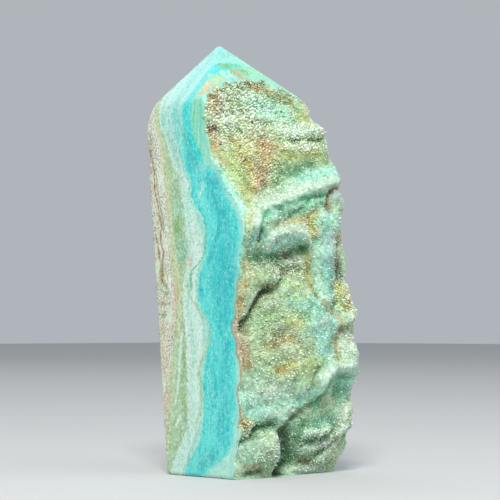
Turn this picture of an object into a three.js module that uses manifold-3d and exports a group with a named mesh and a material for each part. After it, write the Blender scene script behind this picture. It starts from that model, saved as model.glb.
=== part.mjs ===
// A free-standing polished point of banded blue-green stone, in millimetres, +Z up.
// Three sides, the base and the four tip facets are cut flat and softly rounded where they meet.
// The fourth side, facing -Y, is the natural surface: ledges, lumps and furrows, left as it grew.
// While it is being shaped, X runs across the natural side from its left edge, Y runs into the
// stone and Z runs up from the base; the last step moves the origin under the middle of the bounds.

import * as THREE from "three";
import { ConvexGeometry } from "three/addons/geometries/ConvexGeometry.js";
import { mergeVertices } from "three/addons/utils/BufferGeometryUtils.js";
import Module from "manifold-3d";

// Polished block
const WIDTH = 34.6; // left face to right face
const BASE_DEPTH = 21.4; // back edge of the base, from the natural side's foot
const BACK_DEPTH_AT_SHOULDER = 29.2; // the back leans outwards as it rises
const TIP = new THREE.Vector3(15.8, 20.2, 100.75);
const FRONT_CLEARANCE = 12; // the cutting block reaches this far past the natural side
const SHOULDER_FRONT_LEFT = 85.5; // height of each corner under the tip facets
const SHOULDER_FRONT_RIGHT = 87.2;
const SHOULDER_BACK_LEFT = 82.6;
const SHOULDER_BACK_RIGHT = 85.2;
const SHOULDER_DEPTH_LEFT = 9.3; // front end of each shoulder
const SHOULDER_DEPTH_RIGHT = 7.9;
const EDGE_RADIUS = 1.1; // polished edges
const WORN_SHOULDER = 5; // the back left shoulder is rubbed away this far along its edges
const BASE_RADIUS = 0.9;
const TIP_RADIUS = 1.2;
const ARC_STEPS = 4; // facets in each rounded corner, along one side
const WORN_STEPS = 5;

// Natural side: the foot-to-top profile at the left and right edges, [height, depth]
const LEFT_PROFILE = [
  [-3, 0], [0, -0.7], [6, -1.7], [11, -3.2], [18, -2.6], [26, -2.9], [34, -1.8], [42, -2.2],
  [51, -3.1], [57, -4.1], [60.5, -2.2], [64, 1.2], [67.5, 3.1], [70, 4.8], [74, 6.4], [78, 7.7],
  [85, 8.6], [92, 11.6], [104, 15],
];
const RIGHT_PROFILE = [
  [-3, 1], [0, -0.3], [2.7, -1.4], [5, -3], [10, -4.6], [14.5, -5.9], [17.5, -5.3], [21.4, -6.5],
  [24, -6.3], [28, -6.9], [30.7, -5.8], [35, -6.6], [37.6, -5.9], [40, -5.6], [42.5, -4.4],
  [45, -3.7], [50, -3.8], [54, -2.8], [61, -3], [65.8, -2], [68.5, -0.4], [71, -0.6], [74.5, 0],
  [78, 2.3], [80.6, 3.1], [83, 6], [87, 8.1], [92, 10.6], [104, 15],
];
const BELLY = 1; // the lower two thirds swell between the edges
const BELLY_TOP = 66;
const BELLY_FADE = 12;
const HOLLOW = 2.6; // the top third is hollowed
const HOLLOW_HEIGHT = 85;
const HOLLOW_REACH = 12;
const LEFT_ROLL = 0.8; // how far the surface falls back in the last millimetres on the left
const LEFT_ROLL_WIDTH = 2.2;
const RIGHT_ROLL = 1.1;
const RIGHT_ROLL_WIDTH = 3;

// Raised crests and sunk furrows: a line across the surface [x, height], how far it stands out
// (negative when it is sunk), and its half width above and below the line
const MAIN_LEDGE = [[36, 68.4], [30, 67], [26, 65.6], [21, 64.2], [16.6, 62.2], [9.6, 61.2]];
const CREVICE = [[11.6, 44], [10, 43], [6.8, 41.4], [4.8, 38.8], [3, 35.8], [1.8, 33]];
const LOW_LEDGE = [[36, 23.4], [29, 24.4], [24.2, 24.1], [21.2, 22.2], [20.4, 19.2]];
const DOME_FOOT = [[28, 20.4], [24, 18.2], [21, 15.7], [18, 15], [13.7, 12.5], [11.4, 10.2]];
const LINES = [
  // the main ledge, and the hollows over and under it
  { at: MAIN_LEDGE, out: 2, above: 2.4, below: 1.2 },
  { at: [[9.6, 61.2], [6.5, 59.6], [4, 56.4]], out: 1.1, above: 1.6, below: 1 },
  { at: [[31, 63.2], [22, 60.4], [16, 59], [12, 57]], out: -1.2, above: 1.1, below: 1.6 },
  { at: [[36, 75], [28, 71.6], [22, 68.8], [14, 65.4]], out: -1.1, above: 2.4, below: 1.6 },
  // the rim of the hollow, top right
  { at: [[23.5, 79.6], [29, 79.8], [36, 78.6]], out: 1, above: 2.2, below: 1.6 },
  // furrows through the middle
  { at: [[6.4, 56], [6.6, 52]], out: -1, above: 0.9, below: 0.9 },
  { at: [[1.4, 49.4], [6, 48.8], [10.8, 48.8], [14.5, 50.6], [19, 51.8]], out: -1.5, above: 1, below: 1.7 },
  { at: [[22, 58.5], [23.5, 54], [20.3, 50], [21.8, 44.7], [21.5, 40.6]], out: -0.8, above: 1.5, below: 1.5 },
  { at: [[31.6, 50], [31.6, 46], [29.5, 41.6], [27.4, 38.2]], out: -1.5, above: 1.2, below: 1.2 },
  { at: CREVICE, out: -2, above: 0.8, below: 0.9 },
  { at: [[30.6, 64.8], [29, 61.4]], out: -0.9, above: 1, below: 1 },
  // the upright ridge, right of the middle
  { at: [[30, 58.6], [27.5, 55], [26.6, 50], [25.6, 44], [24.8, 40.6]], out: 1.5, above: 2.7, below: 2.7 },
  // round the great dome
  { at: [[11, 40.8], [16, 41.6], [22, 40.4]], out: 0.9, above: 1.3, below: 2.2 },
  { at: [[28, 34.4], [31.5, 36], [36, 37.8]], out: 1.4, above: 1.6, below: 1 },
  { at: [[29.8, 33], [28.3, 29.5], [26.8, 26]], out: -1.2, above: 1.1, below: 1.1 },
  { at: LOW_LEDGE, out: 1.8, above: 1.9, below: 1.2 },
  { at: [[19, 24.6], [18.6, 21.5], [18.2, 19]], out: -0.6, above: 0.9, below: 0.9 },
  { at: DOME_FOOT, out: -1.6, above: 1.2, below: 2 },
  { at: [[11.4, 10.2], [11.4, 7.4], [12.9, 2.6], [13.6, -2]], out: -1.6, above: 1.3, below: 1.3 },
  { at: [[0.8, 12.3], [4.7, 12.2], [11.4, 10.6]], out: -1.2, above: 0.9, below: 1.2 },
  // slanting crests at the lower right
  { at: [[19.6, 9.2], [24, 10.2], [28, 9.8], [36, 11.4]], out: 1.1, above: 1.5, below: 0.9 },
  { at: [[33, 14.4], [29, 11.4], [25, 6.8]], out: 0.8, above: 1.1, below: 1.1 },
  { at: [[35, 5.6], [28, 3.6], [21, 3.2]], out: 1, above: 1.5, below: 1.2 },
  { at: [[34, 8.2], [27, 6.8], [20, 6.4]], out: -0.8, above: 0.9, below: 0.9 },
];

// Rounded lumps: centre [x, height], half size [across, up] and how far they stand out
const LUMPS = [
  { at: [14, 27.5], half: [12, 12.6], out: 2.6 },
  { at: [12.8, 54], half: [6, 3.1], out: 2.4 },
  { at: [3.2, 53.6], half: [2.8, 2.8], out: 1.3 },
  { at: [7.4, 45.4], half: [3.4, 2.2], out: 2 },
  { at: [31, 41.8], half: [3.2, 3.8], out: 1.3 },
  { at: [32.2, 28.2], half: [3.4, 4.4], out: 1.1 },
  { at: [7.2, 5.8], half: [5.4, 4.2], out: 1.9 },
  { at: [25.5, 74.6], half: [6, 3.4], out: 0.8 },
  { at: [10.4, 74], half: [2.6, 1.8], out: 0.5 },
  { at: [28, 15.8], half: [3.6, 2.6], out: 0.8 },
];
const LUMP_FLATNESS = 2.8; // 2 is a soft bell, more is a flatter top with a steeper foot

// Unevenness between the named features: waves [turns across, turns up, start], radians and mm
const WAVES = [
  [0.9, 0.35, 0.4], [-0.55, 0.95, 2.1], [0.25, -1.3, 1.2],
  [1.35, 0.6, 3.3], [-1.1, 0.8, 5.2], [0.7, 1.6, 0.9],
];
const WAVE_HEIGHT = 0.13;

// The blank the natural side is shaped on
const BLANK_LEFT = -2;
const BLANK_RIGHT = 37;
const BLANK_BOTTOM = -2;
const BLANK_TOP = 103;
const BLANK_BACK = 45;
const CELL = 1;
const MERGE_WITHIN = 1e-4;

/** Depth of a profile at a height: a smooth curve through the listed points. */
function depthAt(profile, z) {
  const last = profile.length - 1;
  const above = profile.findIndex(([height]) => height > z);
  const i = above < 1 ? last - 1 : above - 1;
  const slope = (k) => {
    const [za, ya] = profile[Math.max(k - 1, 0)];
    const [zb, yb] = profile[Math.min(k + 1, last)];
    return (yb - ya) / (zb - za);
  };
  const [z0, y0] = profile[i];
  const [z1, y1] = profile[i + 1];
  const t = (z - z0) / (z1 - z0);
  const bend = (z1 - z0) * t * (1 - t);
  const ease = t * t * (3 - 2 * t);
  return y0 + (y1 - y0) * ease + bend * ((1 - t) * slope(i) - t * slope(i + 1));
}

/** Distance from a point to a line of joined segments, and whether the point is above it. */
function offsetFromLine(points, x, z) {
  let nearest = { distance: Infinity, above: true };
  for (let i = 1; i < points.length; i++) {
    const [ax, az] = points[i - 1];
    const [bx, bz] = points[i];
    const along = ((x - ax) * (bx - ax) + (z - az) * (bz - az)) / ((bx - ax) ** 2 + (bz - az) ** 2);
    const t = THREE.MathUtils.clamp(along, 0, 1);
    const rise = z - az - t * (bz - az);
    const distance = Math.hypot(x - ax - t * (bx - ax), rise);
    if (distance < nearest.distance) nearest = { distance, above: rise > 0 };
  }
  return nearest;
}

/** How far a point lies into an edge strip of the surface, 0 to 1 at the edge itself. */
function intoEdge(distance, width) {
  return Math.max(0, 1 - Math.max(0, distance) / width);
}

/** Depth of the natural surface: less is further out. */
function naturalDepth(x, z) {
  const across = THREE.MathUtils.clamp(x / WIDTH, 0, 1);
  const arch = Math.sin(Math.PI * across);
  let y = THREE.MathUtils.lerp(depthAt(LEFT_PROFILE, z), depthAt(RIGHT_PROFILE, z), across);
  y -= BELLY * arch * (1 - THREE.MathUtils.smoothstep(z, BELLY_TOP - BELLY_FADE, BELLY_TOP));
  y += HOLLOW * arch * Math.exp(-(((z - HOLLOW_HEIGHT) / HOLLOW_REACH) ** 2));
  y += LEFT_ROLL * intoEdge(x, LEFT_ROLL_WIDTH) ** 2;
  y += RIGHT_ROLL * intoEdge(WIDTH - x, RIGHT_ROLL_WIDTH) ** 2;
  for (const { at, out, above, below } of LINES) {
    const from = offsetFromLine(at, x, z);
    y -= out * Math.exp(-((from.distance / (from.above ? above : below)) ** 2));
  }
  for (const { at, half, out } of LUMPS) {
    const r = Math.hypot((x - at[0]) / half[0], (z - at[1]) / half[1]);
    y -= out * Math.exp(-(r ** LUMP_FLATNESS));
  }
  for (const [turnsAcross, turnsUp, start] of WAVES) {
    y += WAVE_HEIGHT * Math.sin(turnsAcross * x + turnsUp * z + start);
  }
  return y;
}

/** The blank: a box with its -Y side pushed in or out to the natural surface. */
function naturalBlank() {
  const width = BLANK_RIGHT - BLANK_LEFT;
  const height = BLANK_TOP - BLANK_BOTTOM;
  const columns = Math.round(width / CELL);
  const rows = Math.round(height / CELL);
  const box = new THREE.BoxGeometry(width, 1, height, columns, 1, rows);
  box.translate(BLANK_LEFT + width / 2, 0, BLANK_BOTTOM + height / 2);
  const position = box.attributes.position;
  for (let i = 0; i < position.count; i++) {
    const front = position.getY(i) < 0;
    position.setY(i, front ? naturalDepth(position.getX(i), position.getZ(i)) : BLANK_BACK);
  }
  return box;
}

/** The plane through three points, its normal pointing away from the inside point. */
function planeThrough(a, b, c, inside) {
  const plane = new THREE.Plane().setFromCoplanarPoints(a, b, c);
  return plane.distanceToPoint(inside) > 0 ? plane.negate() : plane;
}

/** The point at one depth under each of three planes. */
function pointUnder([p, q, r], depth) {
  const rows = new THREE.Matrix3().set(...p.normal.toArray(), ...q.normal.toArray(), ...r.normal.toArray());
  const offsets = new THREE.Vector3(-p.constant - depth, -q.constant - depth, -r.constant - depth);
  return offsets.applyMatrix3(rows.invert());
}

/** Points of a ball's surface between the directions of three planes. */
function ballPatch([p, q, r], centre, radius) {
  const points = [];
  for (let i = 0; i <= ARC_STEPS; i++) {
    for (let j = 0; j <= ARC_STEPS - i; j++) {
      const direction = new THREE.Vector3()
        .addScaledVector(p.normal, i)
        .addScaledVector(q.normal, j)
        .addScaledVector(r.normal, ARC_STEPS - i - j)
        .normalize();
      points.push(direction.multiplyScalar(radius).add(centre));
    }
  }
  return points;
}

/** Points of a rounded corner where three planes meet: every plane is touched exactly. */
function roundedCorner(planes, radius) {
  return ballPatch(planes, pointUnder(planes, radius), radius);
}

/** A corner worn down between two of its edges: the ones shared with the middle plane. */
function wornCorner([side, shared, tip], radius, reach) {
  const corner = pointUnder([side, shared, tip], radius);
  const along = (a, b) => new THREE.Vector3().crossVectors(a.normal, b.normal).normalize();
  const down = along(side, shared);
  if (down.z > 0) down.negate();
  const up = along(shared, tip);
  if (up.z < 0) up.negate();
  const curve = new THREE.QuadraticBezierCurve3(
    corner.clone().addScaledVector(down, reach),
    corner,
    corner.clone().addScaledVector(up, reach),
  );
  return curve.getPoints(WORN_STEPS).flatMap((centre) => ballPatch([side, shared, tip], centre, radius));
}

/** The polished block: side planes, base and tip facets as one convex body with soft edges. */
function polishedBlock() {
  const inside = new THREE.Vector3(WIDTH / 2, BASE_DEPTH / 2, SHOULDER_FRONT_LEFT / 2);
  const frontLeft = new THREE.Vector3(0, SHOULDER_DEPTH_LEFT, SHOULDER_FRONT_LEFT);
  const frontRight = new THREE.Vector3(WIDTH, SHOULDER_DEPTH_RIGHT, SHOULDER_FRONT_RIGHT);
  const backLeft = new THREE.Vector3(0, BACK_DEPTH_AT_SHOULDER, SHOULDER_BACK_LEFT);
  const backRight = new THREE.Vector3(WIDTH, BACK_DEPTH_AT_SHOULDER, SHOULDER_BACK_RIGHT);
  const backFoot = new THREE.Vector3(0, BASE_DEPTH, 0);

  const left = new THREE.Plane(new THREE.Vector3(-1, 0, 0), 0);
  const right = new THREE.Plane(new THREE.Vector3(1, 0, 0), -WIDTH);
  const base = new THREE.Plane(new THREE.Vector3(0, 0, -1), 0);
  const front = new THREE.Plane(new THREE.Vector3(0, -1, 0), -FRONT_CLEARANCE);
  const back = planeThrough(backFoot, backLeft, backRight, inside);
  const tipLeft = planeThrough(TIP, frontLeft, backLeft, inside);
  const tipFront = planeThrough(TIP, frontLeft, frontRight, inside);
  const tipRight = planeThrough(TIP, frontRight, backRight, inside);
  const tipBack = planeThrough(TIP, backLeft, backRight, inside);

  return new ConvexGeometry([
    ...roundedCorner([left, back, base], BASE_RADIUS),
    ...roundedCorner([right, back, base], BASE_RADIUS),
    ...roundedCorner([left, front, base], BASE_RADIUS),
    ...roundedCorner([right, front, base], BASE_RADIUS),
    ...roundedCorner([left, front, tipFront], EDGE_RADIUS),
    ...roundedCorner([right, front, tipFront], EDGE_RADIUS),
    ...roundedCorner([left, tipFront, tipLeft], EDGE_RADIUS),
    ...roundedCorner([right, tipFront, tipRight], EDGE_RADIUS),
    ...wornCorner([left, back, tipLeft], EDGE_RADIUS, WORN_SHOULDER),
    ...roundedCorner([right, tipRight, back], EDGE_RADIUS),
    ...roundedCorner([tipLeft, tipFront, tipRight], TIP_RADIUS),
    ...roundedCorner([tipLeft, tipBack, tipRight], TIP_RADIUS),
  ]);
}

const wasm = await Module();
wasm.setup();

/** A closed geometry as a solid that can be joined and cut, its shared vertices merged. */
function solidOf(geometry) {
  const bare = new THREE.BufferGeometry();
  bare.setAttribute("position", geometry.getAttribute("position"));
  if (geometry.index) bare.setIndex(geometry.index);
  const merged = mergeVertices(bare, MERGE_WITHIN);
  return new wasm.Manifold(
    new wasm.Mesh({
      numProp: 3,
      vertProperties: merged.attributes.position.array,
      triVerts: new Uint32Array(merged.index.array),
    }),
  );
}

/** A solid back as a drawable geometry. */
function geometryOf(solid) {
  const mesh = solid.getMesh();
  const geometry = new THREE.BufferGeometry();
  geometry.setAttribute("position", new THREE.BufferAttribute(new Float32Array(mesh.vertProperties), 3));
  geometry.setIndex(new THREE.BufferAttribute(new Uint32Array(mesh.triVerts), 1));
  return geometry;
}

const stone = new THREE.MeshStandardMaterial({ color: 0x5fcac4, roughness: 0.3, metalness: 0 });
const point = geometryOf(solidOf(naturalBlank()).intersect(solidOf(polishedBlock())));
point.computeBoundingBox();
const { min, max } = point.boundingBox;
point.translate(-(min.x + max.x) / 2, -(min.y + max.y) / 2, -min.z);
point.computeVertexNormals();

const tower = new THREE.Mesh(point, stone);
tower.name = "hemimorphite_point";

const group = new THREE.Group();
group.name = "hemimorphite";
group.add(tower);

export default group;
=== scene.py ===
"""A free-standing point of banded blue-green stone: sawn and polished, with one side left as it grew.

Sizes in the classes are millimetres on the stone's own axes: X runs across the grown side from its
left edge, Y runs into the stone from that side's foot, and Z runs up from the base.
"""

from __future__ import annotations

import logging
import math
from collections.abc import Sequence
from dataclasses import dataclass, field
from enum import Enum
from functools import reduce

import bmesh
import bpy
import numpy as np
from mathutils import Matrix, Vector, noise
from mathutils.bvhtree import BVHTree
from mathutils.kdtree import KDTree


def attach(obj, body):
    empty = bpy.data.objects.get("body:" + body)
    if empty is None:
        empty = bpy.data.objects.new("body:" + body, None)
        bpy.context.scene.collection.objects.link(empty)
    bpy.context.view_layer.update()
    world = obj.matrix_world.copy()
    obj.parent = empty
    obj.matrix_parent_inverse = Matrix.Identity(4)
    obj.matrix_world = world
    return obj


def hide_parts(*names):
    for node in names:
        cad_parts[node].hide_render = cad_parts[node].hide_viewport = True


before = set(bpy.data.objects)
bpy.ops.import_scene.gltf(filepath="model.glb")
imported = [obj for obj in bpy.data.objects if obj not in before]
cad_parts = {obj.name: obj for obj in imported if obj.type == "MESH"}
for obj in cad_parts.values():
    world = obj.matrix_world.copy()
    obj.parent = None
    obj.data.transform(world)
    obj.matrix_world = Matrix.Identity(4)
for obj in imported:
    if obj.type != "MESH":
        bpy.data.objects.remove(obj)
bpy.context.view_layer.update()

MM = 0.001
NODE = "hemimorphite_point"
BODY = "root"
STONE_ORIGIN = np.array([17.3, 9.777, 0.0])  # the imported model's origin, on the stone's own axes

# the crust's colour holds its stains, with painted shade in furrows and between crystals and painted light
# on crests
STAIN_AND_SHADING = "stain_and_shading"  # colour of the crust and its crystals; alpha is bareness, or height up a crystal
HOLLOWNESS = "hollowness"  # 0 on a crest, 1 in a furrow
TO_CRUST = "to_crust"  # millimetres from a polished place to the grown side
BAKE_MAP = "OFBake"
GROWN_SLOT = 1  # the stone's second finish is the grown side's

# How much red, green and blue the crust loses, or swings by where it has lighter and darker clumps
# painted shade between coarse crystals
GAP_PAINTED_SHADE = np.array([0.34, 0.22, 0.32])  # between coarse crystals
# painted shade in furrows
FURROW_PAINTED_SHADE = np.array([0.56, 0.34, 0.5])
MOTTLE_SHADE = np.array([0.24, 0.17, 0.26])
CLUMP_SWING = np.array([1.1, 0.9, 1.1])
YELLOW_LOSS = np.array([0.02, 0.1, 0.36])  # in a yellow crystal

Line = tuple[tuple[float, float], ...]
Socket = bpy.types.NodeSocket


class Tint(Enum):
    """Colours of the mineral, and of the shade and light painted on it, as sRGB bytes."""

    ICE = (206, 240, 228)
    WHITE = (226, 234, 222)
    PORCELAIN = (222, 236, 228)
    IVORY = (217, 222, 198)
    CREAM = (226, 220, 200)
    MINT = (168, 228, 206)
    PALE_MINT = (184, 230, 212)
    GREY_TEAL = (148, 206, 194)
    TEAL = (96, 186, 172)
    TURQUOISE = (22, 206, 202)
    LIGHT_TURQUOISE = (98, 222, 214)
    DEEP_TEAL = (6, 178, 184)
    SEA_GREEN = (84, 186, 142)
    VALLEY_GREEN = (58, 136, 88)
    LEAF = (124, 172, 84)
    SAGE = (166, 196, 152)
    GREY_GREEN = (134, 176, 132)
    KHAKI = (206, 204, 158)
    OLIVE = (128, 120, 62)
    BROWN = (148, 108, 72)
    RUST = (168, 112, 46)
    ROSE_TAN = (206, 162, 138)
    LAVENDER = (188, 196, 208)
    SPRING = (168, 220, 176)
    WARM_GREY = (190, 190, 168)
    TAN = (206, 172, 128)
    # near white: the crust's white crystals, and painted glints and highlights
    GLINT = (244, 246, 236)
    SUGAR = (204, 226, 190)
    DRAB = (132, 142, 112)
    # painted shadow, for the right crevice and the foot valley
    PAINTED_SHADOW = (78, 92, 66)
    CREAM_SUGAR = (232, 233, 202)
    AQUA = (188, 252, 240)
    FROST = (172, 240, 246)
    JADE = (88, 200, 158)
    MIST = (148, 224, 222)
    GREEN_SUGAR = (184, 212, 162)
    MOSS = (154, 174, 114)
    LIME = (208, 218, 126)
    YELLOW = (230, 214, 120)
    HONEY = (222, 184, 98)
    OCHRE = (202, 158, 82)
    AMBER = (214, 166, 104)
    UMBER = (132, 96, 50)
    DARK_OLIVE = (70, 66, 26)
    DARK_BROWN = (84, 58, 28)

    @property
    def linear(self) -> np.ndarray:
        """The colour as linear red, green and blue, 0 to 1."""
        share = np.array(self.value) / 255
        return np.where(share <= 0.04045, share / 12.92, ((share + 0.055) / 1.055) ** 2.4)

    @property
    def rgba(self) -> tuple[float, float, float, float]:
        """The linear colour as a socket takes it."""
        red, green, blue = (float(x) for x in self.linear)
        return red, green, blue, 1.0


Value = Socket | Tint | float | Sequence[float]


@dataclass(frozen=True)
class Fold:
    """A raised or sunk line across the grown side, with its own width above and below."""

    line: Line
    out: float
    above: float
    below: float

    def height(self, x: np.ndarray, z: np.ndarray) -> np.ndarray:
        """How far the fold lifts the surface at each place.

        Args:
            x: places across the side.
            z: heights.

        Returns:
            Millimetres, negative where it sinks.
        """
        distance, over = line_distance(self.line, x, z)
        width = np.where(over, self.above, self.below)
        return self.out * np.exp(-((distance / width) ** 2))


@dataclass(frozen=True)
class Lump:
    """A rounded rise or a pit on the grown side."""

    at: tuple[float, float]
    half: tuple[float, float]
    out: float
    flatness: float = 2.4

    def height(self, x: np.ndarray, z: np.ndarray) -> np.ndarray:
        """How far the lump lifts the surface at each place: millimetres, negative in a pit."""
        reach = np.hypot((x - self.at[0]) / self.half[0], (z - self.at[1]) / self.half[1])
        return self.out * np.exp(-(reach**self.flatness))


@dataclass(frozen=True)
class Ripple:
    """Unevenness of one size on the grown side, and how much more of it a rougher place has."""

    wavelength: float
    seed: float
    out: float
    more: float


@dataclass(frozen=True)
class Spot:
    """A coloured patch with a soft edge; most are stains, and some marks are painted shade or painted light.
    """

    tint: Tint
    at: tuple[float, float]
    half: tuple[float, float]
    strength: float = 0.85
    turn: float = 0.0

    def share(self, x: np.ndarray, z: np.ndarray) -> np.ndarray:
        """How strongly the patch colours each place.

        Args:
            x: places across the side.
            z: heights.

        Returns:
            The shares, 0 to 1.
        """
        cos, sin = math.cos(math.radians(self.turn)), math.sin(math.radians(self.turn))
        across = (x - self.at[0]) * cos + (z - self.at[1]) * sin
        up = (z - self.at[1]) * cos - (x - self.at[0]) * sin
        reach = np.hypot(across / self.half[0], up / self.half[1])
        return self.strength * np.exp(-(reach**3) * 0.9)


@dataclass(frozen=True)
class Streak:
    """A coloured streak along a line; most are stains, and some marks are painted shade or painted light."""

    tint: Tint
    line: Line
    width: float
    strength: float = 0.85

    def share(self, x: np.ndarray, z: np.ndarray) -> np.ndarray:
        """How strongly the streak colours each place, 0 to 1."""
        distance, _ = line_distance(self.line, x, z)
        return self.strength * np.exp(-((distance / self.width) ** 2.4))


def line_distance(line: Line, x: np.ndarray, z: np.ndarray) -> tuple[np.ndarray, np.ndarray]:
    """Distance from places on the grown side to a line of joined segments.

    Args:
        line: the corners, each (across, up).
        x: places across the side.
        z: heights.

    Returns:
        The distances, and whether each place is above the line.
    """
    nearest = np.full(x.shape, np.inf)
    over = np.ones(x.shape, bool)
    for (ax, az), (bx, bz) in zip(line, line[1:]):
        along = ((x - ax) * (bx - ax) + (z - az) * (bz - az)) / ((bx - ax) ** 2 + (bz - az) ** 2)
        along = along.clip(0, 1)
        rise = z - az - along * (bz - az)
        distance = np.hypot(x - ax - along * (bx - ax), rise)
        over = np.where(distance < nearest, rise > 0, over)
        nearest = np.minimum(nearest, distance)
    return nearest, over


def smooth_step(low: float, high: float, value: np.ndarray) -> np.ndarray:
    """0 below low, 1 above high and a soft rise between them."""
    share = ((value - low) / (high - low)).clip(0, 1)
    return share * share * (3 - 2 * share)


def to_stone(metres: np.ndarray) -> np.ndarray:
    """Points of a mesh as millimetres on the stone's own axes."""
    return metres / MM + STONE_ORIGIN


def noise_at(points: np.ndarray, wavelength: float, octaves: int, seed: float) -> np.ndarray:
    """Fractal noise at each point, about -1 to 1.

    Args:
        points: one row of three for each point, in millimetres.
        wavelength: length of the largest waves, in millimetres.
        octaves: how many finer layers are added.
        seed: shifts the pattern.

    Returns:
        One number for each point.
    """
    places = points / wavelength + seed
    return np.array([noise.fractal(place, 1.0, 2.0, octaves) for place in places.tolist()])


def numbers(items: bpy.types.bpy_prop_collection, name: str, width: int = 1) -> np.ndarray:
    """One property of every mesh element, as an array with a row for each.

    Args:
        items: the mesh's vertices, edges, loops or polygons.
        name: the property.
        width: how many numbers it has.

    Returns:
        The numbers.
    """
    whole = ("vertices", "vertex_index", "material_index", "loop_start", "loop_total")
    kind = np.int32 if name in whole else np.float32
    found = np.empty(len(items) * width, kind)
    items.foreach_get(name, found)
    return found.reshape(-1, width) if width > 1 else found


def stone_points(mesh: bpy.types.Mesh) -> np.ndarray:
    """The mesh's vertices, on the stone's own axes."""
    return to_stone(numbers(mesh.vertices, "co", 3).astype(float))


def vertex_normals(mesh: bpy.types.Mesh) -> np.ndarray:
    """The mesh's normal at each vertex."""
    return numbers(mesh.vertices, "normal", 3).astype(float)


def grown_triangles(mesh: bpy.types.Mesh) -> np.ndarray:
    """The corners of each triangle of the grown faces.

    Args:
        mesh: the stone's mesh, with its sides parted.

    Returns:
        Vertex numbers, a row of three for each triangle.
    """
    mesh.calc_loop_triangles()
    corners = numbers(mesh.loop_triangles, "vertices", 3)
    return corners[numbers(mesh.loop_triangles, "material_index") == GROWN_SLOT]


def place_vertices(mesh: bpy.types.Mesh, points: np.ndarray) -> None:
    """Moves the mesh's vertices to points on the stone's own axes."""
    mesh.vertices.foreach_set("co", ((points - STONE_ORIGIN) * MM).astype(np.float32).ravel())


def write_values(mesh: bpy.types.Mesh, name: str, values: np.ndarray) -> None:
    """Writes a number, or a colour where there are rows of four, on every vertex."""
    kind, part = ("FLOAT", "value") if values.ndim == 1 else ("FLOAT_COLOR", "color")
    mesh.attributes.new(name, kind, "POINT").data.foreach_set(part, values.ravel())


def write_map(mesh: bpy.types.Mesh, places: np.ndarray) -> None:
    """Gives each corner of the mesh its place on the piece's own map, 0 to 1 both ways."""
    layer = mesh.uv_layers.new(name=BAKE_MAP, do_init=False)
    layer.uv.foreach_set("vector", places.astype(np.float32).ravel())


def tree_of(places: np.ndarray) -> KDTree:
    """A search tree of places.

    Args:
        places: a row of three for each.

    Returns:
        The tree, which numbers them in their order.
    """
    tree = KDTree(len(places))
    for n, place in enumerate(places.tolist()):
        tree.insert(place, n)
    tree.balance()
    return tree


def relaxed(points: np.ndarray, edges: np.ndarray, rounds: int, pull: float = 0.6) -> np.ndarray:
    """Moves each point towards its neighbours' middle a number of times.

    Args:
        points: the points.
        edges: which two points each edge joins.
        rounds: how many times.
        pull: how far each goes in one round, where 1 is all the way.

    Returns:
        The moved points.
    """
    ends = edges.T
    count = np.bincount(edges.ravel(), minlength=len(points))[:, None].clip(1)
    for _ in range(rounds):
        total = np.stack(
            [
                sum(np.bincount(here, points[there, k], len(points)) for here, there in (ends, ends[::-1]))
                for k in range(3)
            ],
            1,
        )
        points = (1 - pull) * points + pull * total / count
    return points


def applied(piece: bpy.types.Object) -> None:
    """Applies the piece's modifiers to its mesh.

    Args:
        piece: the piece.
    """
    depsgraph = bpy.context.evaluated_depsgraph_get()
    finished = bpy.data.meshes.new_from_object(piece.evaluated_get(depsgraph))
    piece.modifiers.clear()
    unused, piece.data = piece.data, finished
    bpy.data.meshes.remove(unused)
    finished.name = piece.name


def new_object(name: str, data: bpy.types.ID) -> bpy.types.Object:
    """Adds an object to the scene.

    Args:
        name: its name.
        data: its mesh, light or camera.

    Returns:
        The object.
    """
    thing = bpy.data.objects.new(name, data)
    bpy.context.scene.collection.objects.link(thing)
    return thing


def declare(piece: bpy.types.Object) -> None:
    """Says that a piece stands for the stone and moves with it.

    Args:
        piece: the piece.
    """
    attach(piece, BODY)
    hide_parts(NODE)


# The grown side's landmarks, which its relief and its stains both follow

MAIN_LEDGE: Line = (
    (36, 68.8), (33, 68.4), (29, 67.6), (25.7, 66.3), (20.8, 64.6), (16.8, 63.2), (12.7, 62.3), (8.5, 60.6),
    (5.7, 59.1), (4.2, 57.6), (4, 55.4),
)
UNDER_LEDGE: Line = (
    (33, 64.2), (29, 63.2), (26, 62.4), (23, 61.4), (20, 61.2), (17, 60.2), (14, 59.8), (11, 59.3),
    (8, 58.6),
)
UPPER_VALLEY: Line = ((14.6, 66.6), (16, 67.6), (20.4, 69.5), (25.8, 71.1), (30, 72.7), (35, 74.6))
SHARD_CRACK: Line = ((31.2, 65.6), (29.1, 64), (29, 62.6), (28.7, 60.9))
SUGAR_RIDGE: Line = ((5.9, 47.3), (10.4, 47.7), (14.1, 48.3), (17.6, 49.2))
CREVICE: Line = ((7.9, 42.1), (7, 41.7), (6.1, 40.8), (5, 39.3), (3.9, 37.6), (2.8, 36.1), (1.6, 34.2))
LEDGE_HOOK: Line = ((9.4, 61.7), (6.8, 60.8), (4.7, 59.8), (3, 58.4), (2.2, 56.8), (2.3, 55.2), (2.8, 53.8))
LEDGE_CREST: Line = (
    (6.8, 60.8), (9.4, 61.8), (12.5, 62.8), (17.2, 64.3), (20.8, 65.6), (24.2, 66.2), (26.9, 66.6),
    (30.4, 67.3), (35, 68.2),
)
LEDGE_SHADE: Line = (
    (3.9, 54), (3.6, 56.1), (4.3, 57.6), (5.8, 59.1), (8, 60.1), (11, 60.9), (14.3, 61.4), (18.1, 62.6),
    (22, 63.8), (25.8, 64.1), (28.5, 64.2),
)
SHELF_CLEFT: Line = ((14.3, 58.6), (17.1, 60.1), (20.4, 61.4), (23, 62.8))
SLIT: Line = ((3.5, 55.7), (3.9, 54.2), (3.9, 52.6))
COMB_LIP: Line = ((6, 42.2), (4.6, 41), (3.5, 39.6), (2.6, 37.8), (1.6, 35.4))
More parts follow.
